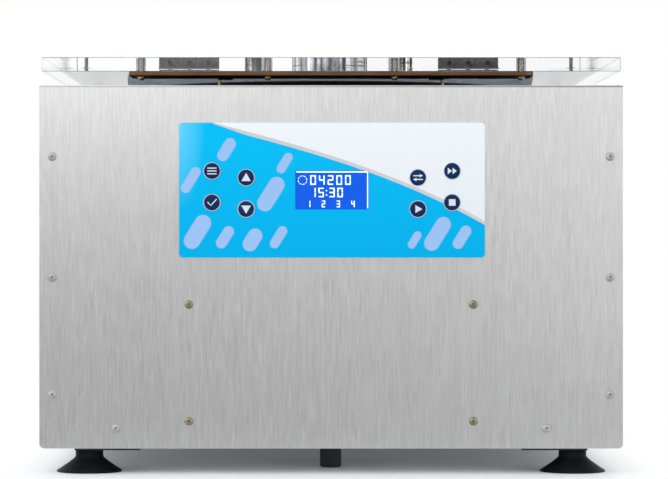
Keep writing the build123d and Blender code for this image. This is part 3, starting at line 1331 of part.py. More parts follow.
def make_fan_frame():
    """Square fan frame with a round duct, three spokes and a motor cup with its pin."""
    cup_back = FAN_FRONT_Y + FAN_HUB_T
    frame = pad_y(0, 0, FAN_SIZE, FAN_SIZE, FAN_FRONT_Y, FAN_BACK_Y)
    frame -= rod_y(0, 0, FAN_FRONT_Y, FAN_BACK_Y, FAN_BORE_R)
    frame += rod_y(0, 0, FAN_FRONT_Y, cup_back, FAN_HUB_R)
    half_w = FAN_SPOKE_W / 2
    for k in range(3):
        spoke = block(
            0, FAN_BORE_R + FAN_SPOKE_ROOT, FAN_FRONT_Y, FAN_FRONT_Y + FAN_SPOKE_T, -half_w, half_w
        )
        frame += Rot(0, 120 * k + 30, 0) * spoke
    frame += rod_y(0, 0, cup_back, cup_back + FAN_PIN_L, FAN_PIN_R)
    return Pos(FAN_X, 0, FAN_Z) * frame


def make_fan_impeller():
    """Fan wheel: a hub with pitched blades on the frame's pin."""
    back = FAN_BACK_Y - FAN_END_GAP
    front = FAN_FRONT_Y + FAN_HUB_T + FAN_WHEEL_GAP
    tip = FAN_BORE_R - FAN_TIP_GAP
    root = FAN_HUB_R - FAN_SPOKE_ROOT
    wheel = rod_y(0, 0, front, back, FAN_HUB_R)
    blade = Rot(FAN_BLADE_TURN, 0, 0) * Box(tip - root, FAN_BLADE_T, FAN_BLADE_W)
    blade = Pos((root + tip) / 2, (front + back) / 2, 0) * blade
    for k in range(FAN_BLADES):
        wheel += Rot(0, 360 / FAN_BLADES * k, 0) * blade
    wheel = wheel & rod_y(0, 0, front, back, tip)
    wheel -= rod_y(0, 0, front, FAN_FRONT_Y + FAN_HUB_T + FAN_PIN_L + FAN_WHEEL_GAP, FAN_PIN_R + SHAFT_CLEAR)
    return Pos(FAN_X, 0, FAN_Z) * wheel


PIECES = {
    "body_shell": make_body_shell,
    "front_panel": make_front_panel,
    "rear_panel": make_rear_panel,
    "top_deck": make_top_deck,
    "feet": make_feet,
    "foot_studs": make_foot_studs,
    "panel_screws": make_panel_screws,
    "drive_screws": make_drive_screws,
    "control_overlay": make_control_overlay,
    "display_window": make_display_window,
    "display_module": make_display_module,
    "control_board": make_control_board,
    "drive_heatsink": make_drive_heatsink,
    "drive_board": make_drive_board,
    "chamber_bowl": make_chamber_bowl,
    "chamber_gasket": make_chamber_gasket,
    "guard_ring": make_guard_ring,
    "shaft_boot": make_shaft_boot,
    "rubber_mounts": make_rubber_mounts,
    "motor_frame": make_motor_frame,
    "motor_housing": make_motor_housing,
    "motor_end_bell": make_motor_end_bell,
    "motor_bearings": make_motor_bearings,
    "motor_shaft": make_motor_shaft,
    "motor_armature": make_motor_armature,
    "rotor_head": make_rotor_head,
    "trunnion_pins": make_trunnion_pins,
    "rotor_knob": make_rotor_knob,
    "lid_panel": make_lid_panel,
    "latch_bar": make_latch_bar,
    "latch_hooks": make_latch_hooks,
    "lid_bolts": make_lid_bolts,
    "lid_front_plate": make_lid_front_plate,
    "lid_port": make_lid_port,
    "lid_bumpers": make_lid_bumpers,
    "lid_screws": make_lid_screws,
    "lid_hinge_leaves": make_lid_hinge_leaves,
    "deck_hinge_leaves": make_deck_hinge_leaves,
    "hinge_pins": make_hinge_pins,
    "stay_bases": make_stay_bases,
    "stay_arms": make_stay_arms,
    "lock_guides": make_lock_guides,
    "lock_bar": make_lock_bar,
    "lock_solenoid": make_lock_solenoid,
    "power_module": make_power_module,
    "power_rocker": make_power_rocker,
    "fan_frame": make_fan_frame,
    "fan_impeller": make_fan_impeller,
}
BUCKET_TURNS = {"bucket_right": 0, "bucket_rear": 90, "bucket_left": 180, "bucket_front": 270}

os.makedirs("parts", exist_ok=True)
for name, make in PIECES.items():
    export_step(make(), f"parts/{name}.step")
for name, turn_deg in BUCKET_TURNS.items():
    export_step(make_bucket(turn_deg), f"parts/{name}.step")
for name, (key_x, key_z) in KEYS.items():
    export_step(make_key(key_x, key_z), f"parts/{name}.step")
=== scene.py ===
"""Looks of a benchtop centrifuge: finishes on the frame's nodes, and detailed pieces round them."""

import math

import bmesh
import bpy
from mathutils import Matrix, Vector


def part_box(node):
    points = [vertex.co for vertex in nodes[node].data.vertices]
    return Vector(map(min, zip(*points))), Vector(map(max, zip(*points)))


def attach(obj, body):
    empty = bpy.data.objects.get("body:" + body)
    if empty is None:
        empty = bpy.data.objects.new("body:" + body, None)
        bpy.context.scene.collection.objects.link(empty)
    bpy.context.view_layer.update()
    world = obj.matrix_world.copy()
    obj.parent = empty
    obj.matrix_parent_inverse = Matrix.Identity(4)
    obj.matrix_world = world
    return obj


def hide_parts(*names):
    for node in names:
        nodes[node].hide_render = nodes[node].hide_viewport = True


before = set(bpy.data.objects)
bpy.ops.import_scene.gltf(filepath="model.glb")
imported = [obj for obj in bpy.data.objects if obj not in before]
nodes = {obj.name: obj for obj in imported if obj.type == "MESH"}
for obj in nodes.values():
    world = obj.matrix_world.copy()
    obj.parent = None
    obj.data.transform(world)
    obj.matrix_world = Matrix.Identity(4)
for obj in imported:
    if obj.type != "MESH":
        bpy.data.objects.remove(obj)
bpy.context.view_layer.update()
MM = 0.001

# Places read from the frame, in metres
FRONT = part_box("front_panel")[0].y
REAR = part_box("rear_panel")[1].y
BAR_LOW, BAR_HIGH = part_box("latch_bar")
FILM_LOW, FILM_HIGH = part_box("control_overlay")
WINDOW_LOW, WINDOW_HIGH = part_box("display_window")
GASKET_LOW, GASKET_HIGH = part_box("chamber_gasket")
CHAMBER = (GASKET_LOW + GASKET_HIGH) / 2
FILM = FILM_LOW.y


# Node helpers


class Shader:
    """A material under construction, with short calls for the nodes that most finishes use."""

    def __init__(self, name):
        self.material = bpy.data.materials.new(name)
        self.material.use_nodes = True
        self.tree = self.material.node_tree
        self.bsdf = self.tree.nodes["Principled BSDF"]
        self.output = self.tree.nodes["Material Output"]
        # Place and surface normal, both in the piece's own axes
        coordinates = self.add("ShaderNodeTexCoord")
        self.place = coordinates.outputs["Object"]
        self.facing = coordinates.outputs["Normal"]

    def add(self, kind, **values):
        node = self.tree.nodes.new(kind)
        for key, value in values.items():
            setattr(node, key, value)
        return node

    def link(self, source, target):
        self.tree.links.new(source, target)

    def set(self, **values):
        """Sets sockets of the main shader by name, with spaces written as underscores."""
        for key, value in values.items():
            self.bsdf.inputs[key.replace("_", " ")].default_value = value

    def stretched(self, scale):
        """Object coordinates multiplied by a scale along each axis."""
        mapping = self.add("ShaderNodeMapping")
        mapping.inputs["Scale"].default_value = scale
        self.link(self.place, mapping.inputs["Vector"])
        return mapping.outputs["Vector"]

    def noise(self, scale, detail=3.0, rough=0.5, vector=None):
        """Noise whose grain is set along each axis, in repeats a metre."""
        node = self.add("ShaderNodeTexNoise")
        node.inputs["Scale"].default_value = 1.0
        node.inputs["Detail"].default_value = detail
        node.inputs["Roughness"].default_value = rough
        self.link(vector or self.stretched(scale), node.inputs["Vector"])
        return node.outputs["Fac"]

    def spread(self, source, low, high, from_low=0.3, from_high=0.7):
        """Maps a factor to a range."""
        node = self.add("ShaderNodeMapRange")
        values = {"From Min": from_low, "From Max": from_high, "To Min": low, "To Max": high}
        for key, value in values.items():
            node.inputs[key].default_value = value
        self.link(source, node.inputs["Value"])
        return node.outputs["Result"]

    def mix(self, factor, first, second):
        """Blends two colours by a factor."""
        node = self.add("ShaderNodeMix", data_type="RGBA")
        self.link(factor, node.inputs["Factor"])
        for socket, value in ((node.inputs["A"], first), (node.inputs["B"], second)):
            if isinstance(value, tuple):
                socket.default_value = value
            else:
                self.link(value, socket)
        return node.outputs["Result"]

    def math(self, operation, first, second=0.0):
        node = self.add("ShaderNodeMath", operation=operation)
        for socket, value in zip(node.inputs, (first, second)):
            if isinstance(value, (int, float)):
                socket.default_value = value
            else:
                self.link(value, socket)
        return node.outputs["Value"]

    def parts(self, vector):
        """The three parts of a vector as separate values."""
        split = self.add("ShaderNodeSeparateXYZ")
        self.link(vector, split.inputs["Vector"])
        return split.outputs["X"], split.outputs["Y"], split.outputs["Z"]

    def length(self, first, second):
        """Length of a vector of two values."""
        squares = [self.math("POWER", value, 2.0) for value in (first, second)]
        return self.math("SQRT", self.math("ADD", *squares))

    def offset(self, value, middle, size):
        """Distance of a value from a middle, in units of size."""
        return self.math("DIVIDE", self.math("SUBTRACT", value, middle), size)

    def colour(self, source):
        self.link(source, self.bsdf.inputs["Base Color"])

    def rough(self, source):
        self.link(source, self.bsdf.inputs["Roughness"])

    def bump(self, source, distance, strength=1.0, edge=0.0):
        """Fine relief, over edges that are rounded by a radius in millimetres."""
        node = self.add("ShaderNodeBump")
        node.inputs["Distance"].default_value = distance
        node.inputs["Strength"].default_value = strength
        self.link(source, node.inputs["Height"])
        if edge > 0:
            bevel = self.add("ShaderNodeBevel", samples=6)
            bevel.inputs["Radius"].default_value = edge * MM
            self.link(bevel.outputs["Normal"], node.inputs["Normal"])
        self.link(node.outputs["Normal"], self.bsdf.inputs["Normal"])

    def blend_over(self, shader, factor):
        """Shows another shader instead of the main one where the factor is one."""
        blend = self.add("ShaderNodeMixShader")
        self.link(factor, blend.inputs["Fac"])
        self.link(self.bsdf.outputs["BSDF"], blend.inputs[1])
        self.link(shader, blend.inputs[2])
        self.link(blend.outputs["Shader"], self.output.inputs["Surface"])


def rgba(red, green, blue):
    return (red, green, blue, 1.0)


def scaled(colour, factor):
    """A colour made lighter or darker, no channel above one."""
    return rgba(*(min(1.0, c * factor) for c in colour[:3]))


def shade(value):
    """An 8-bit display value as a linear one."""
    unit = value / 255
    return unit / 12.92 if unit <= 0.04045 else ((unit + 0.055) / 1.055) ** 2.4


def tone(red, green, blue):
    """A colour from 8-bit display values."""
    return rgba(shade(red), shade(green), shade(blue))


# Finishes


def brushed_steel(name, base, rough=0.36, along="Z", contrast=0.095):
    """Stainless steel with fine straight brush marks along one axis."""
    s = Shader(name)

    def grain(across, down):
        return tuple(down if axis == along else across for axis in "XYZ")

    streaks = s.noise(grain(1100, 50), 3, 0.7)
    strands = s.noise(grain(600, 20), 2, 0.6)
    bands = s.noise(grain(40, 3), 2, 0.5)
    both = s.math("ADD", s.math("MULTIPLY", streaks, 0.65), s.math("MULTIPLY", strands, 0.25))
    both = s.math("ADD", both, s.math("MULTIPLY", bands, 0.1))
    dark, light = scaled(base, 1 - contrast), scaled(base, 1 + contrast)
    s.colour(s.mix(s.spread(both, 0, 1, 0.36, 0.64), dark, light))
    s.rough(s.spread(streaks, rough - 0.03, rough + 0.05))
    s.set(Metallic=1.0, Anisotropic=0.6)
    tangent = s.add("ShaderNodeTangent", direction_type="RADIAL", axis=along)
    s.link(tangent.outputs["Tangent"], s.bsdf.inputs["Tangent"])
    s.bump(both, 0.00002, 0.3, edge=0.5)
    return s.material


def plain_metal(name, base, rough, grain=300, variation=0.12, metallic=1.0):
    """Cast, plated or machined metal with a fine mottle."""
    s = Shader(name)
    mottle = s.noise((grain, grain, grain), 4, 0.6)
    s.colour(s.mix(s.spread(mottle, 0, 1), scaled(base, 1 - variation), scaled(base, 1 + variation)))
    s.rough(s.spread(mottle, rough - 0.05, rough + 0.07))
    s.set(Metallic=metallic)
    s.bump(mottle, 0.00002, 0.3, edge=0.4)
    return s.material


def chrome_with_painted_reflections(name, base, rough, grain):
    """Turned bright metal with painted reflections: dark and light upright bands and darker streaks on its
    upright faces, crossed by fine tool marks.
    """
    s = Shader(name)
    bands = s.noise((grain, grain, 4), 2, 0.6)
    marks = s.noise((12, 12, 1600), 2, 0.6)
    painted_dark_streaks = s.noise((30, 30, 420), 2, 0.6)
    # Painted reflections: the bands and dark streaks stand in for the surroundings mirrored in the metal;
    # faces that look up or down keep the plain colour
    shown = s.mix(s.spread(bands, 0, 1, 0.38, 0.60), scaled(base, 0.28), scaled(base, 1.4))
    shown = s.mix(s.spread(painted_dark_streaks, 0.75, 0.0, 0.36, 0.46), shown, scaled(base, 0.12))
    level = s.spread(s.math("ABSOLUTE", s.parts(s.facing)[2]), 0.0, 1.0, 0.5, 0.7)
    s.colour(s.mix(level, shown, base))
    s.rough(s.spread(marks, rough - 0.04, rough + 0.06))
    s.set(Metallic=1.0)
    s.bump(marks, 0.00004, 0.5)
    return s.material


def metal_with_painted_shade(name, base, rough, shade_from_height):
    """Brown or brass-coloured metal with painted shade: black on its underside and above a height, where
    shade falls under the latch bar.
    """
    s = Shader(name)
    mottle = s.noise((30, 500, 500), 4, 0.6)
    shown = s.mix(s.spread(mottle, 0, 1), scaled(base, 0.8), scaled(base, 1.35))
    # Painted shade: the underside, and everything above the given height, turn near-black and dull in place
    # of the shade under the latch bar
    under = s.spread(s.parts(s.facing)[2], 1.0, 0.0, -0.9, -0.4)
    above = s.spread(s.parts(s.place)[2], 0.0, 1.0, shade_from_height, shade_from_height + 0.2 * MM)
    black = s.math("MAXIMUM", under, above)
    s.colour(s.mix(black, shown, rgba(0.006, 0.006, 0.006)))
    s.rough(s.math("ADD", s.spread(mottle, rough - 0.05, rough + 0.07), s.math("MULTIPLY", black, 0.45)))
    s.link(s.math("SUBTRACT", 1.0, black), s.bsdf.inputs["Metallic"])
    s.set(Specular_IOR_Level=0.1)
    s.bump(mottle, 0.00002, 0.3)
    return s.material


def spun_steel(name, base, rough):
    """Steel with rings round the chamber's axis."""
    s = Shader(name)
    x, y, z = s.parts(s.place)
    radius = s.length(s.offset(x, CHAMBER.x, MM), s.offset(y, CHAMBER.y, MM))
    flat = s.add("ShaderNodeCombineXYZ")
    s.link(s.math("MULTIPLY", radius, 1.5), flat.inputs["X"])
    s.link(s.math("MULTIPLY", z, 1500.0), flat.inputs["Z"])
    rings = s.noise(None, 2, 0.5, flat.outputs["Vector"])
    s.colour(s.mix(rings, scaled(base, 0.85), base))
    s.rough(s.spread(rings, rough - 0.04, rough + 0.08))
    s.set(Metallic=1.0)
    s.bump(rings, 0.00002, 0.4)
    return s.material


def moulded(name, base, rough, edge=0.5, gloss=0.5):
    """Moulded plastic or rubber with a fine surface."""
    s = Shader(name)
    fine = s.noise((1500, 1500, 1500), 3, 0.6)
    cloud = s.noise((40, 40, 40), 2, 0.5)
    s.colour(s.mix(s.spread(cloud, 0, 1), scaled(base, 0.85), scaled(base, 1.15)))
    s.rough(s.spread(fine, rough - 0.06, rough + 0.08))
    s.set(Specular_IOR_Level=gloss)
    s.bump(fine, 0.00003, 0.5, edge)
    return s.material


def clear_plastic(name, tint, index=1.49):
    """Clear plastic with slightly dull side edges, that lets light through to what lies under it."""
    s = Shader(name)
    sawn = s.spread(s.math("ABSOLUTE", s.parts(s.facing)[0]), 0.0, 0.10, 0.5, 0.8)
    s.rough(s.math("ADD", s.spread(s.noise((60, 60, 60), 3, 0.6), 0.0, 0.012), sawn))
    s.set(Base_Color=tint, IOR=index, Transmission_Weight=1.0)
    path = s.add("ShaderNodeLightPath")
    through = s.add("ShaderNodeBsdfTransparent")
    through.inputs["Color"].default_value = rgba(0.93, 0.96, 0.96)
    s.blend_over(through.outputs["BSDF"], path.outputs["Is Shadow Ray"])
    return s.material


def milky_film(name, base, clear):
    """Thin frosted film that lets part of the light through."""
    s = Shader(name)
    streak = s.noise((260, 18, 260), 3, 0.6)
    s.colour(s.mix(s.spread(streak, 0, 1), scaled(base, 0.8), scaled(base, 1.15)))
    s.rough(s.spread(streak, 0.5, 0.7))
    s.set(Transmission_Weight=clear, IOR=1.2)
    s.bump(streak, 0.00002, 0.4)
    return s.material


def film_surface(s):
    """Satin surface of the printed overlay, with a faint tooth."""
    tooth = s.noise((900, 900, 900), 3, 0.5)
    s.rough(s.spread(tooth, 0.42, 0.52))
    s.set(Specular_IOR_Level=0.06)
    s.bump(tooth, 0.00001, 0.3)
    return s.material


def printed(name, top, bottom):
    """Print whose colour runs from bottom to top."""
    s = Shader(name)
    s.colour(s.mix(s.spread(s.parts(s.place)[2], 0, 1, FILM_LOW.z, FILM_HIGH.z), bottom, top))
    return film_surface(s)


def cyan_film_with_painted_reflection(name, top, bottom, pale):
    """The overlay's cyan ink, darker towards the bottom, and a painted reflection that makes the upper left
    corner paler.
    """
    s = Shader(name)
    x, _, z = s.parts(s.place)
    run = s.mix(s.spread(z, 0, 1, FILM_LOW.z, FILM_HIGH.z), bottom, top)
    # Painted reflection: towards the upper left corner the colour fades to a paler cyan
    away = s.length(s.offset(x, FILM_LOW.x, 24 * MM), s.offset(z, FILM_HIGH.z, 80 * MM))
    s.colour(s.mix(s.spread(away, 1.0, 0.0, 0.0, 1.0), run, pale))
    return film_surface(s)


def lit(name, colour, strength):
    """A lit surface, such as a display's segments."""
    s = Shader(name)
    s.colour(s.mix(s.spread(s.noise((30, 30, 30), 2), 0, 1), colour, scaled(colour, 1.08)))
    s.set(Emission_Color=colour, Emission_Strength=strength, Roughness=0.4, Specular_IOR_Level=0.1)
    return s.material


STEEL = brushed_steel("stainless_vertical", rgba(0.70, 0.70, 0.70))
SIDE_STEEL = brushed_steel("stainless_side", rgba(0.70, 0.70, 0.70), 0.34)
DECK_STEEL = brushed_steel("stainless_deck", rgba(0.64, 0.64, 0.64), 0.32, "X", 0.12)
BOWL_STEEL = spun_steel("spun_stainless", rgba(0.66, 0.665, 0.67), 0.28)
ZINC = plain_metal("zinc_plate", rgba(0.46, 0.48, 0.50), 0.38)
BRIGHT_STEEL = plain_metal("bright_steel", rgba(0.68, 0.68, 0.69), 0.22)
HINGE_STEEL = plain_metal("hinge_steel", rgba(0.80, 0.83, 0.79), 0.46, grain=420, variation=0.5)
BOSS_STEEL = chrome_with_painted_reflections("boss_chrome", rgba(0.56, 0.55, 0.51), 0.10, 110)
PORT_STEEL = chrome_with_painted_reflections("port_chrome", rgba(0.60, 0.63, 0.66), 0.08, 160)
BARREL_STEEL = plain_metal("barrel_steel", rgba(0.17, 0.165, 0.16), 0.2)
SCREW_STEEL = plain_metal("screw_steel", rgba(0.50, 0.50, 0.495), 0.62)
SCREW_BROWN = plain_metal("screw_brown", rgba(0.30, 0.27, 0.19), 0.42)
SCREW_DARK = plain_metal("screw_dark", rgba(0.12, 0.12, 0.12), 0.4)
# The latch bar's underside and the tops of the hooks carry painted shade
BRONZE = metal_with_painted_shade("bronze_anodised", rgba(0.125, 0.074, 0.041), 0.42, BAR_HIGH.z + MM)
BRASS = plain_metal("brass", rgba(0.38, 0.26, 0.13), 0.16)
HOOK_BRASS = metal_with_painted_shade("dull_brass", rgba(0.36, 0.255, 0.155), 0.38, BAR_LOW.z - 3.4 * MM)
ALUMINIUM = plain_metal("machined_aluminium", rgba(0.74, 0.75, 0.76), 0.30)
BLACK_METAL = plain_metal("black_enamel", rgba(0.02, 0.02, 0.022), 0.35, metallic=0.0)
ARMOUR = plain_metal("dark_primer", rgba(0.10, 0.105, 0.11), 0.6, metallic=0.0)
SINK = plain_metal("black_anodised", rgba(0.03, 0.03, 0.033), 0.4, metallic=0.4)
RUBBER = moulded("black_rubber", rgba(0.005, 0.006, 0.008), 0.5, gloss=0.15)
# Painted shade: the centre rest is a grey rubber toned like the soft patch of shade under the middle of the
# front
REST_SHADE_RUBBER = moulded("rest_rubber_painted_shade", rgba(0.04, 0.042, 0.047), 0.6, gloss=0.2)
BLACK_PLASTIC = moulded("black_plastic", rgba(0.018, 0.018, 0.02), 0.42)
NYLON = moulded("nylon", rgba(0.78, 0.77, 0.72), 0.5)
NAVY = moulded("navy_key", tone(2, 40, 84), 0.40, edge=0.3, gloss=0.15)
KEY_RING = moulded("key_ring", tone(196, 208, 228), 0.35, edge=0.1)
BOARD_GREEN = moulded("solder_mask", rgba(0.01, 0.12, 0.05), 0.35)
CLEAR = clear_plastic("clear_polycarbonate", rgba(0.985, 0.995, 1.0))
PANE = clear_plastic("clear_pane", rgba(0.97, 0.985, 1.0), 1.12)
GREY_FILM = milky_film("grey_film", rgba(0.74, 0.77, 0.82), 0.75)
FILM_BLUE = cyan_film_with_painted_reflection("film_cyan", tone(0, 192, 249), tone(0, 178, 237), tone(100, 212, 255))
PRINT_WHITE = printed("film_white", tone(241, 246, 251), tone(228, 236, 244))
PRINT_GREY = printed("film_grey", tone(208, 207, 210), tone(212, 211, 215))
PRINT_PALE = printed("film_pale_blue", tone(157, 194, 243), tone(159, 197, 245))
INK_WHITE = printed("ink_white", tone(224, 230, 240), tone(219, 225, 235))
LCD_BLUE = lit("display_blue", tone(0, 78, 198), 0.28)
LCD_WHITE = lit("display_segments", tone(214, 232, 255), 0.6)
LCD_EDGE = moulded("display_edge", tone(40, 60, 110), 0.4)
KEYS = ["key_select", "key_up", "key_accept", "key_down", "key_units", "key_pulse", "key_run", "key_halt"]
BUCKETS = ["bucket_right", "bucket_rear", "bucket_left", "bucket_front"]

FINISH = {
    STEEL: ["front_panel", "rear_panel"],
    SIDE_STEEL: ["body_shell"],
    DECK_STEEL: ["top_deck"],
    BOWL_STEEL: ["chamber_bowl"],
    ZINC: ["lock_bar", "motor_frame", "deck_hinge_leaves"],
    HINGE_STEEL: ["lid_hinge_leaves"],
    BOSS_STEEL: ["stay_arms"],
    PORT_STEEL: ["lid_port"],
    BARREL_STEEL: ["lid_bolts"],
    SCREW_STEEL: ["panel_screws", "lock_solenoid"],
    SCREW_DARK: ["lid_screws"],
    BRIGHT_STEEL: ["motor_shaft", "motor_bearings", "trunnion_pins", "hinge_pins"] + BUCKETS,
    SCREW_BROWN: ["drive_screws"],
    BRONZE: ["latch_bar"],
    HOOK_BRASS: ["latch_hooks"],
    ALUMINIUM: ["rotor_head", "motor_end_bell"],
    BLACK_METAL: ["motor_housing", "foot_studs"],
    ARMOUR: ["guard_ring", "motor_armature"],
    SINK: ["drive_heatsink"],
    RUBBER: ["feet", "chamber_gasket", "shaft_boot", "rubber_mounts", "lid_bumpers"],
    BLACK_PLASTIC: [
        "rotor_knob", "stay_bases", "power_module", "power_rocker", "fan_frame", "fan_impeller",
    ],
    NYLON: ["lock_guides"],
    BOARD_GREEN: ["control_board", "drive_board"],
    CLEAR: ["lid_panel"],
    GREY_FILM: ["lid_front_plate"],
    PANE: ["display_window"],
    FILM_BLUE: ["control_overlay"],
    LCD_EDGE: ["display_module"],
    NAVY: KEYS,
}
for finish, names in FINISH.items():
    for name in names:
        mesh = nodes[name].data
        mesh.materials.clear()
        mesh.materials.append(finish)


# Mesh helpers


def piece(name, build, finish, body, replaces=(), sharp=35):
    """A mesh piece made by build(bm), smoothed up to an angle, that rides on a body."""
    mesh = bpy.data.meshes.new(name)
    bm = bmesh.new()
    build(bm)
    bmesh.ops.recalc_face_normals(bm, faces=bm.faces)
    bm.to_mesh(mesh)
    bm.free()
    mesh.polygons.foreach_set("use_smooth", [True] * len(mesh.polygons))
    mesh.set_sharp_from_angle(angle=math.radians(sharp))
    mesh.materials.append(finish)
    made = bpy.data.objects.new(name, mesh)
    bpy.context.scene.collection.objects.link(made)
    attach(made, body)
    if replaces:
        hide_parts(*replaces)


def skin(bm, rings):
    """Faces between each ring of points and the next."""
    for one, two in zip(rings, rings[1:]):
        for k in range(len(one)):
            n = (k + 1) % len(one)
            bm.faces.new((one[k], one[n], two[n], two[k]))


def lathe(bm, profile, centre, axis="z", steps=96, closed=True):
    """Turns (radius, height) points round an upright or a front-to-back axis through centre."""
    rings = []
    cx, cy = centre
    for radius, height in profile:
        ring = []
        for k in range(steps):
            a = 2 * math.pi * k / steps
            u = cx + radius * math.cos(a)
            v = cy + radius * math.sin(a)
            ring.append(bm.verts.new((u, v, height) if axis == "z" else (u, height, v)))
        rings.append(ring)
    if closed:
        skin(bm, rings + rings[:1])
    else:
        skin(bm, rings)
        bm.faces.new(rings[0])
        bm.faces.new(rings[-1][::-1])


def arc_points(cx, cy, radius, start, end, count):
    """Points on an arc, angles in degrees."""
    angles = [math.radians(start + (end - start) * k / count) for k in range(count + 1)]
    return [(cx + radius * math.cos(a), cy + radius * math.sin(a)) for a in angles]


def slab_from(bm, outline, y0, y1):
    """A flat plate from an (x, z) outline, between two depths."""
    front = [bm.verts.new((x, y0, z)) for x, z in outline]
    back = [bm.verts.new((x, y1, z)) for x, z in outline]
    bm.faces.new(front)
    bm.faces.new(back[::-1])
    count = len(outline)
    for k in range(count):
        n = (k + 1) % count
        bm.faces.new((front[k], back[k], back[n], front[n]))


def rectangle(bm, x0, x1, z0, z1, y0, y1):
    """A flat rectangular plate between two depths."""
    slab_from(bm, [(x0, z0), (x1, z0), (x1, z1), (x0, z1)], y0, y1)


def rounded_outline(x0, x1, z0, z1, radius, count=8):
    """Corner points of a rounded rectangle, anticlockwise seen from the front."""
    corners = [(x1 - radius, z1 - radius, 0), (x0 + radius, z1 - radius, 90)]
    corners += [(x0 + radius, z0 + radius, 180), (x1 - radius, z0 + radius, 270)]
    points = []
    for cx, cz, start in corners:
        points += arc_points(cx, cz, radius, start, start + 90, count)
    return points


def bar_outline(x0, z0, x1, z1, radius, count=10):
    """Outline of a straight bar with round ends between two points."""
    turn = math.degrees(math.atan2(z1 - z0, x1 - x0))
    far = arc_points(x1, z1, radius, turn - 90, turn + 90, count)
    return far + arc_points(x0, z0, radius, turn + 90, turn + 270, count)


def stroke(bm, points, width, y0, y1):
    """A line of constant width through (x, z) points, as one strip."""
    rows = []
    for k, (x, z) in enumerate(points):
        before = points[max(k - 1, 0)]
        after = points[min(k + 1, len(points) - 1)]
        turn = math.atan2(after[1] - before[1], after[0] - before[0])
        dx, dz = -math.sin(turn) * width / 2, math.cos(turn) * width / 2
        left, right = (x + dx, z + dz), (x - dx, z - dz)
        corners = ((left, y0), (right, y0), (right, y1), (left, y1))
        rows.append([bm.verts.new((u, y, v)) for (u, v), y in corners])
    skin(bm, rows)
    bm.faces.new(rows[0])
    bm.faces.new(rows[-1][::-1])


def solid_boxes(name):
    """Middle, lowest and highest corners of each separate solid of a node."""
    bm = bmesh.new()
    bm.from_mesh(nodes[name].data)
    bmesh.ops.remove_doubles(bm, verts=bm.verts, dist=1e-6)
    seen = set()
    boxes = []
    for start in bm.verts:
        if start in seen:
            continue
        stack = [start]
        group = []
        seen.add(start)
        while stack:
            vert = stack.pop()
            group.append(vert.co.copy())
            for edge in vert.link_edges:
                other = edge.other_vert(vert)
                if other not in seen:
                    seen.add(other)
                    stack.append(other)
        low = Vector([min(p[k] for p in group) for k in range(3)])
        high = Vector([max(p[k] for p in group) for k in range(3)])
        boxes.append(((low + high) / 2, low, high))
    bm.free()
    return boxes


# Suction feet

FOOT_NECK = 12.7 * MM
FOOT_REACH = 30.2 * MM
# A foot's section stops this far from its axis
AXIS_GAP = 0.2 * MM
# Parts of a foot's section, in millimetres: the neck's out from its side and down from the top, the rim's
# in from its edge and down from the top, and the sole's in from the same edge and up from the floor
NECK_SECTION = [(-0.8, 0), (0, 0.8), (0, 5.6), (0.7, 7.0), (2.6, 8.8), (6.0, 11.4), (10.4, 14.4)]
RIM_SECTION = [(3.6, 16.8), (1.2, 18.2), (0, 19.4), (0.3, 19.9)]
SOLE_SECTION = [(0.9, 0), (2.4, 0), (5, 1.2), (10, 3.0)]


def foot_profile(top):
    """Section of a suction foot: plain neck, flared cup with a thin lip, hollow underneath."""
    points = [(AXIS_GAP, top)]
    points += [(FOOT_NECK + out * MM, top - down * MM) for out, down in NECK_SECTION]
    points += [(FOOT_REACH - inward * MM, top - down * MM) for inward, down in RIM_SECTION]
    points += [(FOOT_REACH - inward * MM, rise * MM) for inward, rise in SOLE_SECTION]
    return points + [(8 * MM, 4.6 * MM), (AXIS_GAP, 5.0 * MM)]


def rest_profile(radius, top):
    """Section of the plain rest under the front: a post with eased ends and a rounded foot."""
    points = [(AXIS_GAP, top), (radius - 0.6 * MM, top), (radius, top - 0.6 * MM), (radius, 2.2 * MM)]
    return points + [(radius - 0.5 * MM, 0.8 * MM), (radius - 1.6 * MM, 0.0), (AXIS_GAP, 0.0)]


def make_feet():
    """The four suction feet and the plain rest, where the frame's feet stand."""
    for number, (middle, low, high) in enumerate(solid_boxes("feet")):
        radius = (high.x - low.x) / 2
        if radius > 2 * FOOT_NECK:
            name, finish, profile = f"suction_foot_{number}", RUBBER, foot_profile(high.z)
        else:
            name, finish, profile = "centre_rest", REST_SHADE_RUBBER, rest_profile(radius, high.z)
        piece(
            name, lambda bm: lathe(bm, profile, middle.xy), finish, "case", ["feet"],
            sharp=50,
        )


make_feet()


# Screw heads

HEAD_STEPS = 36
HEAD_HEIGHT = 2.2 * MM
SOCKET_FLAT = 1.25 * MM
DOME_TURN = 62
# In head heights: length of the shank behind the head, height of its rim, and level of the socket's floor
SHANK_DEPTH = 2.2
RIM_RISE = 0.16
SOCKET_FLOOR = 0.25


def hex_reach(angle, flat):
    """Distance from the centre to a hexagon's side at an angle."""
    turn = math.radians(60)
    local = (angle + turn / 2) % turn - turn / 2
    return flat / math.cos(local)


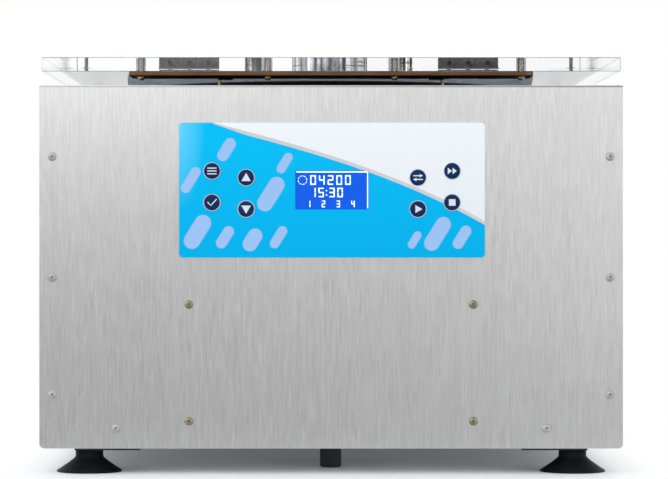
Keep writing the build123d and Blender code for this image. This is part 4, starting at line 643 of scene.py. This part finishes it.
def button_head(bm, x, y, z, facing, radius):
    """A domed screw head with a hexagonal socket, on a short shank. facing is -1 to the front."""
    dome = arc_points(0, 0, 1, 0, DOME_TURN, 6)
    rows = [(0.5 * radius, -SHANK_DEPTH), (0.5 * radius, 0.0), (radius, 0.0)]
    rows += [(radius * c, RIM_RISE + (1 - RIM_RISE) * s / dome[-1][1]) for c, s in dome]
    angles = [2 * math.pi * k / HEAD_STEPS for k in range(HEAD_STEPS)]
    rings = [[(r, facing * rise, a) for a in angles] for r, rise in rows]
    for rise in (1.0, SOCKET_FLOOR):
        rings.append([(hex_reach(a, SOCKET_FLAT), facing * rise, a) for a in angles])
    made = []
    for ring in rings:
        points = [(x + r * math.cos(a), y + h * HEAD_HEIGHT, z + r * math.sin(a)) for r, h, a in ring]
        made.append([bm.verts.new(point) for point in points])
    skin(bm, made)
    bm.faces.new(made[0])
    bm.faces.new(made[-1][::-1])


def make_screws(node, name, finish):
    """Detailed heads for every screw of a node."""
    spots = solid_boxes(node)

    def build(bm):
        for middle, low, high in spots:
            facing = -1 if middle.y < 0 else 1
            y = FRONT if facing < 0 else REAR
            button_head(bm, middle.x, y, middle.z, facing, (high.x - low.x) / 2)

    piece(name, build, finish, "case", [node])


make_screws("panel_screws", "panel_screw_heads", SCREW_STEEL)
make_screws("drive_screws", "drive_screw_heads", SCREW_BROWN)


# Printed film

FILM_W = FILM_HIGH.x - FILM_LOW.x
FILM_H = FILM_HIGH.z - FILM_LOW.z
FILM_CORNER = 3.5 * MM
PRINT_INSET = 0.03 * MM
PRINT_T = 0.02 * MM
BAND_W = 3.4 * MM
# The grey band starts at this share of its width and widens over the first steps of the edge
BAND_START = 0.3
BAND_STEPS = 8
# The white field's lower edge: start across the film, fall down it, and how much of the fall bends
FIELD_START = 0.112
FIELD_DROP = 0.731
FIELD_BEND = 0.28
FIELD_STEPS = 48
# Slanted bars: place across and up the film, half length and radius, as shares of the film's width
SLANTED_BARS = [
    (0.300, 0.470, 0.036, 0.026), (0.345, 0.700, 0.022, 0.015), (0.155, 0.800, 0.022, 0.019),
    (0.060, 0.190, 0.034, 0.027), (0.150, 0.150, 0.022, 0.018), (0.240, 0.130, 0.016, 0.024),
    (0.325, 0.150, 0.024, 0.016), (0.038, 0.575, 0.031, 0.016), (0.845, 0.175, 0.036, 0.025),
    (0.925, 0.150, 0.024, 0.018), (0.770, 0.130, 0.018, 0.013),
]
BAR_SLANT = math.radians(58)


def make_print():
    """White field, grey band and pale slanted bars printed over the cyan film."""
    start_x = FILM_LOW.x + FIELD_START * FILM_W
    end_x = FILM_HIGH.x - PRINT_INSET
    top = FILM_HIGH.z - PRINT_INSET
    drop = FIELD_DROP * FILM_H
    edge = []
    for k in range(FIELD_STEPS + 1):
        t = k / FIELD_STEPS
        fall = drop * ((1 - FIELD_BEND) * t + FIELD_BEND * t ** 3)
        edge.append((start_x + (end_x - start_x) * t, top - fall))
    corner = arc_points(end_x - FILM_CORNER, top - FILM_CORNER, FILM_CORNER, 0, 90, 8)
    widths = [BAND_W * min(1.0, BAND_START + k / BAND_STEPS) for k in range(FIELD_STEPS + 1)]
    under = [(x, z - width) for (x, z), width in zip(edge, widths)]
    layer = FILM - PRINT_T

    def field(bm):
        slab_from(bm, edge + corner, layer, FILM)

    def band(bm):
        slab_from(bm, edge + under[::-1], layer - PRINT_T, FILM)

    def bars(bm):
        for u, v, half, radius in SLANTED_BARS:
            dx = half * FILM_W * math.cos(BAR_SLANT)
            dz = half * FILM_W * math.sin(BAR_SLANT)
            x = FILM_LOW.x + u * FILM_W
            z = FILM_LOW.z + v * FILM_H
            slab_from(bm, bar_outline(x - dx, z - dz, x + dx, z + dz, radius * FILM_W), layer, FILM)

    shapes = {
        "print_white_field": (field, PRINT_WHITE),
        "print_grey_band": (band, PRINT_GREY),
        "print_slanted_bars": (bars, PRINT_PALE),
    }
    for name, (build, finish) in shapes.items():
        piece(name, build, finish, "case")


make_print()


# Display

SEGMENTS = {
    "0": "abcdef", "1": "bc", "2": "abged", "3": "abgcd", "4": "fgbc",
    "5": "afgcd", "6": "afgedc", "7": "abc", "8": "abcdefg", "9": "abcdfg",
}


def digit(bm, char, x, z, wide, tall, thick, y0, y1):
    """One seven-segment digit with its lower left corner at (x, z)."""
    half = tall / 2
    gap = thick * 0.22
    bars = {
        "a": (x + gap, x + wide - gap, z + tall - thick, z + tall),
        "g": (x + gap, x + wide - gap, z + half - thick / 2, z + half + thick / 2),
        "d": (x + gap, x + wide - gap, z, z + thick),
        "f": (x, x + thick, z + half + gap, z + tall - gap),
        "b": (x + wide - thick, x + wide, z + half + gap, z + tall - gap),
        "e": (x, x + thick, z + gap, z + half - gap),
        "c": (x + wide - thick, x + wide, z + gap, z + half - gap),
    }
    for name in SEGMENTS[char]:
        rectangle(bm, *bars[name], y0, y1)


DISPLAY_CORNER = 0.9 * MM
PANE_T = 0.45 * MM
FACE_T = 0.12 * MM
INK_T = 0.03 * MM
COLON_X = 28.2 * MM
COLON_RISES = (13.0 * MM, 17.0 * MM)
COLON_R = 0.65 * MM
# Ring of dashes at the upper left
DIAL_X = 6.4 * MM
DIAL_Z = 26.5 * MM
DIAL_R = 3.9 * MM
DIAL_LINE = 0.6 * MM
# Lit lines along the top and down the right side
LINE_INSET = 0.4 * MM
LINE_START = 0.8 * MM
TOP_LINE = 1.2 * MM
SIDE_LINE = 1.0 * MM
# Rows of digits: text, then in millimetres left edge, pitch, rise, digit width, digit height, line width
DIGIT_ROWS = [
    ("04200", 13.4, 7.9, 22.2, 5.2, 8.8, 1.15), ("15", 13.4, 7.4, 11.0, 5.0, 8.6, 1.1),
    ("30", 30.6, 7.4, 11.0, 5.0, 8.6, 1.1), ("1234", 10.4, 13.4, 1.8, 3.2, 6.2, 0.9),
]


def make_display():
    """Lit face with plain digits behind a thin clear pane."""
    low, high = WINDOW_LOW, WINDOW_HIGH
    face = high.y - FACE_T
    ink = face - INK_T
    outline = rounded_outline(low.x, high.x, low.z, high.z, DISPLAY_CORNER)

    def marks(bm):
        for text, left, pitch, rise, wide, tall, width in DIGIT_ROWS:
            for k, char in enumerate(text):
                x = low.x + (left + pitch * k) * MM
                digit(bm, char, x, low.z + rise * MM, wide * MM, tall * MM, width * MM, ink, face)
        for rise in COLON_RISES:
            slab_from(bm, arc_points(low.x + COLON_X, low.z + rise, COLON_R, 0, 330, 11), ink, face)
        for turn in range(0, 360, 45):
            dash = arc_points(low.x + DIAL_X, low.z + DIAL_Z, DIAL_R, turn, turn + 32, 6)
            stroke(bm, dash, DIAL_LINE, ink, face)
        top, right = high.z - LINE_INSET, high.x - LINE_INSET
        under, inner = top - TOP_LINE, right - SIDE_LINE
        rectangle(bm, low.x + LINE_START, right, under, top, ink, face)
        rectangle(bm, inner, right, low.z + LINE_START, under, ink, face)

    def backing(bm):
        slab_from(bm, outline, face, high.y)

    def pane(bm):
        slab_from(bm, outline, low.y, low.y + PANE_T)

    shapes = {
        "display_face": (backing, LCD_BLUE, "lcd", []),
        "display_digits": (marks, LCD_WHITE, "lcd", []),
        "display_pane": (pane, PANE, "clear_window", ["display_window"]),
    }
    for name, (build, finish, slot, hidden) in shapes.items():
        piece(name, build, finish, "case", hidden)


make_display()


# Keys

# Sections of a key's cap and of its ring: radius and depth behind the front, in millimetres
KEY_CROWN = [(0.1, 0.0), (4.0, 0.04), (6.2, 0.14), (6.9, 0.24), (7.2, 0.5)]
KEY_RIM = [(7.25, 0.3), (7.5, 0.12), (7.9, 0.45), (7.9, 2.0), (7.25, 2.0)]
MARK_WIDTH = 1.0 * MM
MARK_PROUD = 0.04 * MM
MARK_DEPTH = 0.12 * MM


# Symbols of the keys, in millimetres from a key's middle: filled shapes and lines
KEY_SHAPES = {
    "key_up": [[(-4.3, -3.2), (4.3, -3.2), (0, 4.2)]],
    "key_down": [[(-4.3, 3.2), (0, -4.2), (4.3, 3.2)]],
    "key_run": [[(-2.4, -3.6), (4.0, 0), (-2.4, 3.6)]],
    "key_halt": [[(-3.0, -3.0), (3.0, -3.0), (3.0, 3.0), (-3.0, 3.0)]],
    "key_units": [[(1.4, 0.1), (4.6, 1.7), (1.4, 3.3)], [(-1.4, -3.3), (-1.4, -0.1), (-4.6, -1.7)]],
    "key_pulse": [[(-4.0, -3.0), (-0.2, 0), (-4.0, 3.0)], [(0.4, -3.0), (4.2, 0), (0.4, 3.0)]],
}
KEY_LINES = {
    "key_select": [[(-4.2, rise), (4.2, rise)] for rise in (-2.6, 0, 2.6)],
    "key_accept": [[(-4.0, 0.4), (-1.1, -2.8), (4.2, 3.0)]],
    "key_units": [[(-4.4, 1.7), (1.4, 1.7)], [(-1.4, -1.7), (4.4, -1.7)]],
}


def key_mark(bm, name, x, z, y0, y1):
    """A plain symbol on a key."""
    for points in KEY_SHAPES.get(name, []):
        slab_from(bm, [(x + u * MM, z + v * MM) for u, v in points], y0, y1)
    for points in KEY_LINES.get(name, []):
        stroke(bm, [(x + u * MM, z + v * MM) for u, v in points], MARK_WIDTH, y0, y1)


def make_key(name):
    """A softly domed round key with a pale ring round it and its symbol."""
    low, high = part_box(name)
    x, z = (low.x + high.x) / 2, (low.z + high.z) / 2
    front = low.y
    crown = [(r * MM, front + depth * MM) for r, depth in KEY_CROWN]
    crown += [(crown[-1][0], high.y), (crown[0][0], high.y)]
    rim = [(r * MM, front + depth * MM) for r, depth in KEY_RIM]

    def mark(bm):
        key_mark(bm, name, x, z, front - MARK_PROUD, front + MARK_DEPTH)

    piece(
        name + "_cap", lambda bm: lathe(bm, crown, (x, z), "y", 64, False), NAVY, name,
        [name],
    )
    piece(name + "_ring", lambda bm: lathe(bm, rim, (x, z), "y", 64), KEY_RING, name)
    piece(name + "_mark", mark, INK_WHITE, name)


for key_name in KEYS:
    make_key(key_name)


# Chamber gasket

GASKET_WIDTH = 12 * MM
GASKET_SEAT = 1.5 * MM
GASKET_LIP = 1.9 * MM
# Beads on top: distance from the inner or the outer edge, and depth under the crest, in millimetres
GASKET_INNER = [(0, 2.2), (0.8, 0.6), (2.4, 0), (4.6, 0.7), (6.0, 1.5)]
GASKET_OUTER = [(4.6, 0.7), (2.4, 0), (0.7, 0.7), (0, 2.4)]


def make_gasket():
    """Rubber ring round the chamber mouth, with a double bead on top."""
    low, high = GASKET_LOW, GASKET_HIGH
    outer = (high.x - low.x) / 2
    inner = outer - GASKET_WIDTH
    top = high.z
    seat = low.z + GASKET_SEAT
    foot = outer - GASKET_LIP
    crest = [(inner, seat)]
    crest += [(inner + across * MM, top - down * MM) for across, down in GASKET_INNER]
    crest += [(outer - across * MM, top - down * MM) for across, down in GASKET_OUTER]
    crest += [(outer, low.z), (foot, low.z), (foot, seat)]
    centre = (CHAMBER.x, CHAMBER.y)
    piece(
        "gasket_ring", lambda bm: lathe(bm, crest, centre, "z", 256), RUBBER, "case",
        ["chamber_gasket"],
    )


make_gasket()


# Lid bolts

BARREL_SOCKET_R = 2.5 * MM
BARREL_SOCKET_DEPTH = 4 * MM
SOCKET_EASE = 0.3 * MM
CROWN_EASE = 0.4 * MM
SEAT_EASE = 0.5 * MM
# Section of a nut and of the stud's end: radius and depth under the bar, in millimetres
NUT_SECTION = [(0.05, 0), (3.7, 0), (3.7, 0.8), (3.3, 1.0), (3.1, 2.0), (2.5, 3.1)]


def make_lid_bolts():
    """Through-bolts of the latch bar: a socketed barrel the height of the slab, a stud and a nut."""
    spots = solid_boxes("lid_bolts")
    slab_z = BAR_HIGH.z

    def barrels(bm):
        for middle, low, high in spots:
            radius = (high.x - low.x) / 2
            top = high.z
            floor = top - BARREL_SOCKET_DEPTH
            rows = [(0.05 * MM, floor), (BARREL_SOCKET_R, floor), (BARREL_SOCKET_R, top - SOCKET_EASE)]
            rows += [(BARREL_SOCKET_R + SOCKET_EASE, top), (radius - CROWN_EASE, top)]
            rows += [(radius, top - CROWN_EASE), (radius, slab_z + SEAT_EASE)]
            rows += [(radius - SEAT_EASE, slab_z), (0.05 * MM, slab_z)]
            lathe(bm, rows, middle.xy, "z", 48, closed=False)

    def nuts(bm):
        for middle, low, high in spots:
            under = BAR_LOW.z
            rows = [(r * MM, under - down * MM) for r, down in NUT_SECTION]
            rows += [(1.5 * MM, low.z + 0.2 * MM), (0.05 * MM, low.z)]
            lathe(bm, rows, middle.xy, "z", 32, closed=False)

    piece("lid_bolt_barrels", barrels, BARREL_STEEL, "lid", ["lid_bolts"])
    piece("lid_bolt_nuts", nuts, BRASS, "lid", ["lid_bolts"])


make_lid_bolts()


# Stage, light and camera

WHITE = rgba(1.0, 1.0, 1.0)
# The table top: how far its near part starts in front of the machine, its own glow and its reach
TABLE_FRONT = 0.08
FLOOR_GLOW = 0.055
FLOOR_REACH = 30.0
# Distances from the origin over which the table turns white: to the sides, and to front and back
WHITE_BESIDE = (0.235, 0.30)
WHITE_AWAY = (0.40, 0.85)
# Strength of the surroundings: low and high in front, at the sides, and behind
FRONT_LOW_LIGHT = 0.27
FRONT_HIGH_LIGHT = 0.70
SIDE_LIGHT = 0.85
BACK_LIGHT = 1.0
# Parts of a unit direction between which one strength runs into the next: upward, sideways, rearward
FRONT_RISE = (-0.25, 0.35)
SIDE_TURN = (0.35, 0.8)
BACK_TURN = (-0.5, 0.1)
# Soft boxes: name, place, target, width, height and radiance
SOFTBOXES = [
    ("front_card", (-0.95, FRONT - 1.1, 0.95), (-0.3, FRONT, 0.25), 2.4, 1.2, 1.55),
    ("right_fill", (1.2, FRONT - 1.2, 0.45), (0.2, FRONT, 0.25), 1.2, 0.9, 1.5),
    ("top_light", (0.0, 0.3, 1.8), (0, 0, 0.35), 1.6, 1.2, 0.5),
]
# Camera: focal length, image width and shift in pixels, sensor in millimetres, place in metres
FOCAL_PX = 2900.0
IMAGE_W = 668.0
SHIFT_PX = 22
SENSOR = 36.0
CAMERA_PLACE = (-0.0174, FRONT - 2.633, 0.2128)


def floor_finish():
    """White table top that melts into the white surroundings with distance."""
    s = Shader("stage_floor")
    s.set(Base_Color=rgba(0.88, 0.90, 0.93))
    x, y, _ = s.parts(s.place)
    s.rough(s.spread(s.noise((40, 40, 40)), 0.55, 0.7))
    glow = s.add("ShaderNodeEmission")
    glow.inputs["Color"].default_value = WHITE
    beside = s.spread(s.math("ABSOLUTE", x), FLOOR_GLOW, 1.0, *WHITE_BESIDE)
    away = s.spread(s.math("ABSOLUTE", y), FLOOR_GLOW, 1.0, *WHITE_AWAY)
    s.blend_over(glow.outputs["Emission"], s.math("MAXIMUM", beside, away))
    return s.material


def make_stage():
    """Table top in two parts: the part well in front of the machine isn't mirrored in its panel."""
    finish = floor_finish()
    near = FRONT - TABLE_FRONT
    spans = {"stage_floor": (near, FLOOR_REACH), "stage_apron": (-FLOOR_REACH, near)}
    for name, (y0, y1) in spans.items():
        mesh = bpy.data.meshes.new(name)
        corners = [(-FLOOR_REACH, y0, 0), (FLOOR_REACH, y0, 0), (FLOOR_REACH, y1, 0), (-FLOOR_REACH, y1, 0)]
        mesh.from_pydata(corners, [], [(0, 1, 2, 3)])
        mesh.materials.append(finish)
        floor = bpy.data.objects.new(name, mesh)
        floor.visible_diffuse = name == "stage_floor"
        floor.visible_glossy = name == "stage_floor"
        bpy.context.scene.collection.objects.link(floor)


def make_world():
    """White backdrop for the camera, and soft studio surroundings that are dimmer in front."""
    world = bpy.data.worlds.new("studio")
    bpy.context.scene.world = world
    world.use_nodes = True
    tree = world.node_tree

    def add(kind, **values):
        """A node whose sockets are linked to outputs or set to values."""
        made = tree.nodes.new(kind)
        for key, value in values.items():
            socket = made.inputs[key.replace("_", " ")]
            if isinstance(value, bpy.types.NodeSocket):
                tree.links.new(value, socket)
            else:
                socket.default_value = value
        return made

    def ramp(value, span, low, high):
        """Runs from low to high while a value crosses a span."""
        limits = {"From_Min": span[0], "From_Max": span[1], "To_Min": low, "To_Max": high}
        return add("ShaderNodeMapRange", Value=value, **limits).outputs["Result"]

    direction = add("ShaderNodeTexCoord").outputs["Generated"]
    parts = add("ShaderNodeSeparateXYZ", Vector=direction).outputs
    sideways = add("ShaderNodeMath", Value=parts["X"])
    sideways.operation = "ABSOLUTE"
    front = ramp(parts["Z"], FRONT_RISE, FRONT_LOW_LIGHT, FRONT_HIGH_LIGHT)
    sides = ramp(sideways.outputs["Value"], SIDE_TURN, front, SIDE_LIGHT)
    level = ramp(parts["Y"], BACK_TURN, sides, BACK_LIGHT)
    soft = tree.nodes["Background"]
    soft.inputs["Color"].default_value = WHITE
    tree.links.new(level, soft.inputs["Strength"])
    plain = add("ShaderNodeBackground", Color=WHITE, Strength=1.0)
    blend = add("ShaderNodeMixShader", Fac=add("ShaderNodeLightPath").outputs["Is Camera Ray"])
    tree.links.new(soft.outputs["Background"], blend.inputs[1])
    tree.links.new(plain.outputs["Background"], blend.inputs[2])
    tree.links.new(blend.outputs["Shader"], tree.nodes["World Output"].inputs["Surface"])


def add_softbox(name, place, target, width, height, radiance):
    """A rectangular area light aimed at a point. Its watts are the radiance times pi times its area."""
    light = bpy.data.lights.new(name, "AREA")
    light.shape = "RECTANGLE"
    light.size = width
    light.size_y = height
    light.energy = radiance * math.pi * width * height
    box = bpy.data.objects.new(name, light)
    box.visible_camera = False
    box.location = place
    aim = Vector(target) - Vector(place)
    box.rotation_euler = aim.to_track_quat("-Z", "Y").to_euler()
    bpy.context.scene.collection.objects.link(box)


def make_camera():
    """Level camera a little above the middle of the cabinet, far in front of it."""
    data = bpy.data.cameras.new("camera")
    data.sensor_width = SENSOR
    data.lens = FOCAL_PX / IMAGE_W * SENSOR
    data.clip_end = 100.0
    data.shift_x = SHIFT_PX / IMAGE_W
    camera = bpy.data.objects.new("camera", data)
    camera.location = CAMERA_PLACE
    camera.rotation_euler = (math.radians(90), 0, 0)
    bpy.context.scene.collection.objects.link(camera)
    bpy.context.scene.camera = camera


make_stage()
make_world()
for softbox in SOFTBOXES:
    add_softbox(*softbox)
make_camera()
bpy.context.scene.view_settings.view_transform = "Standard"
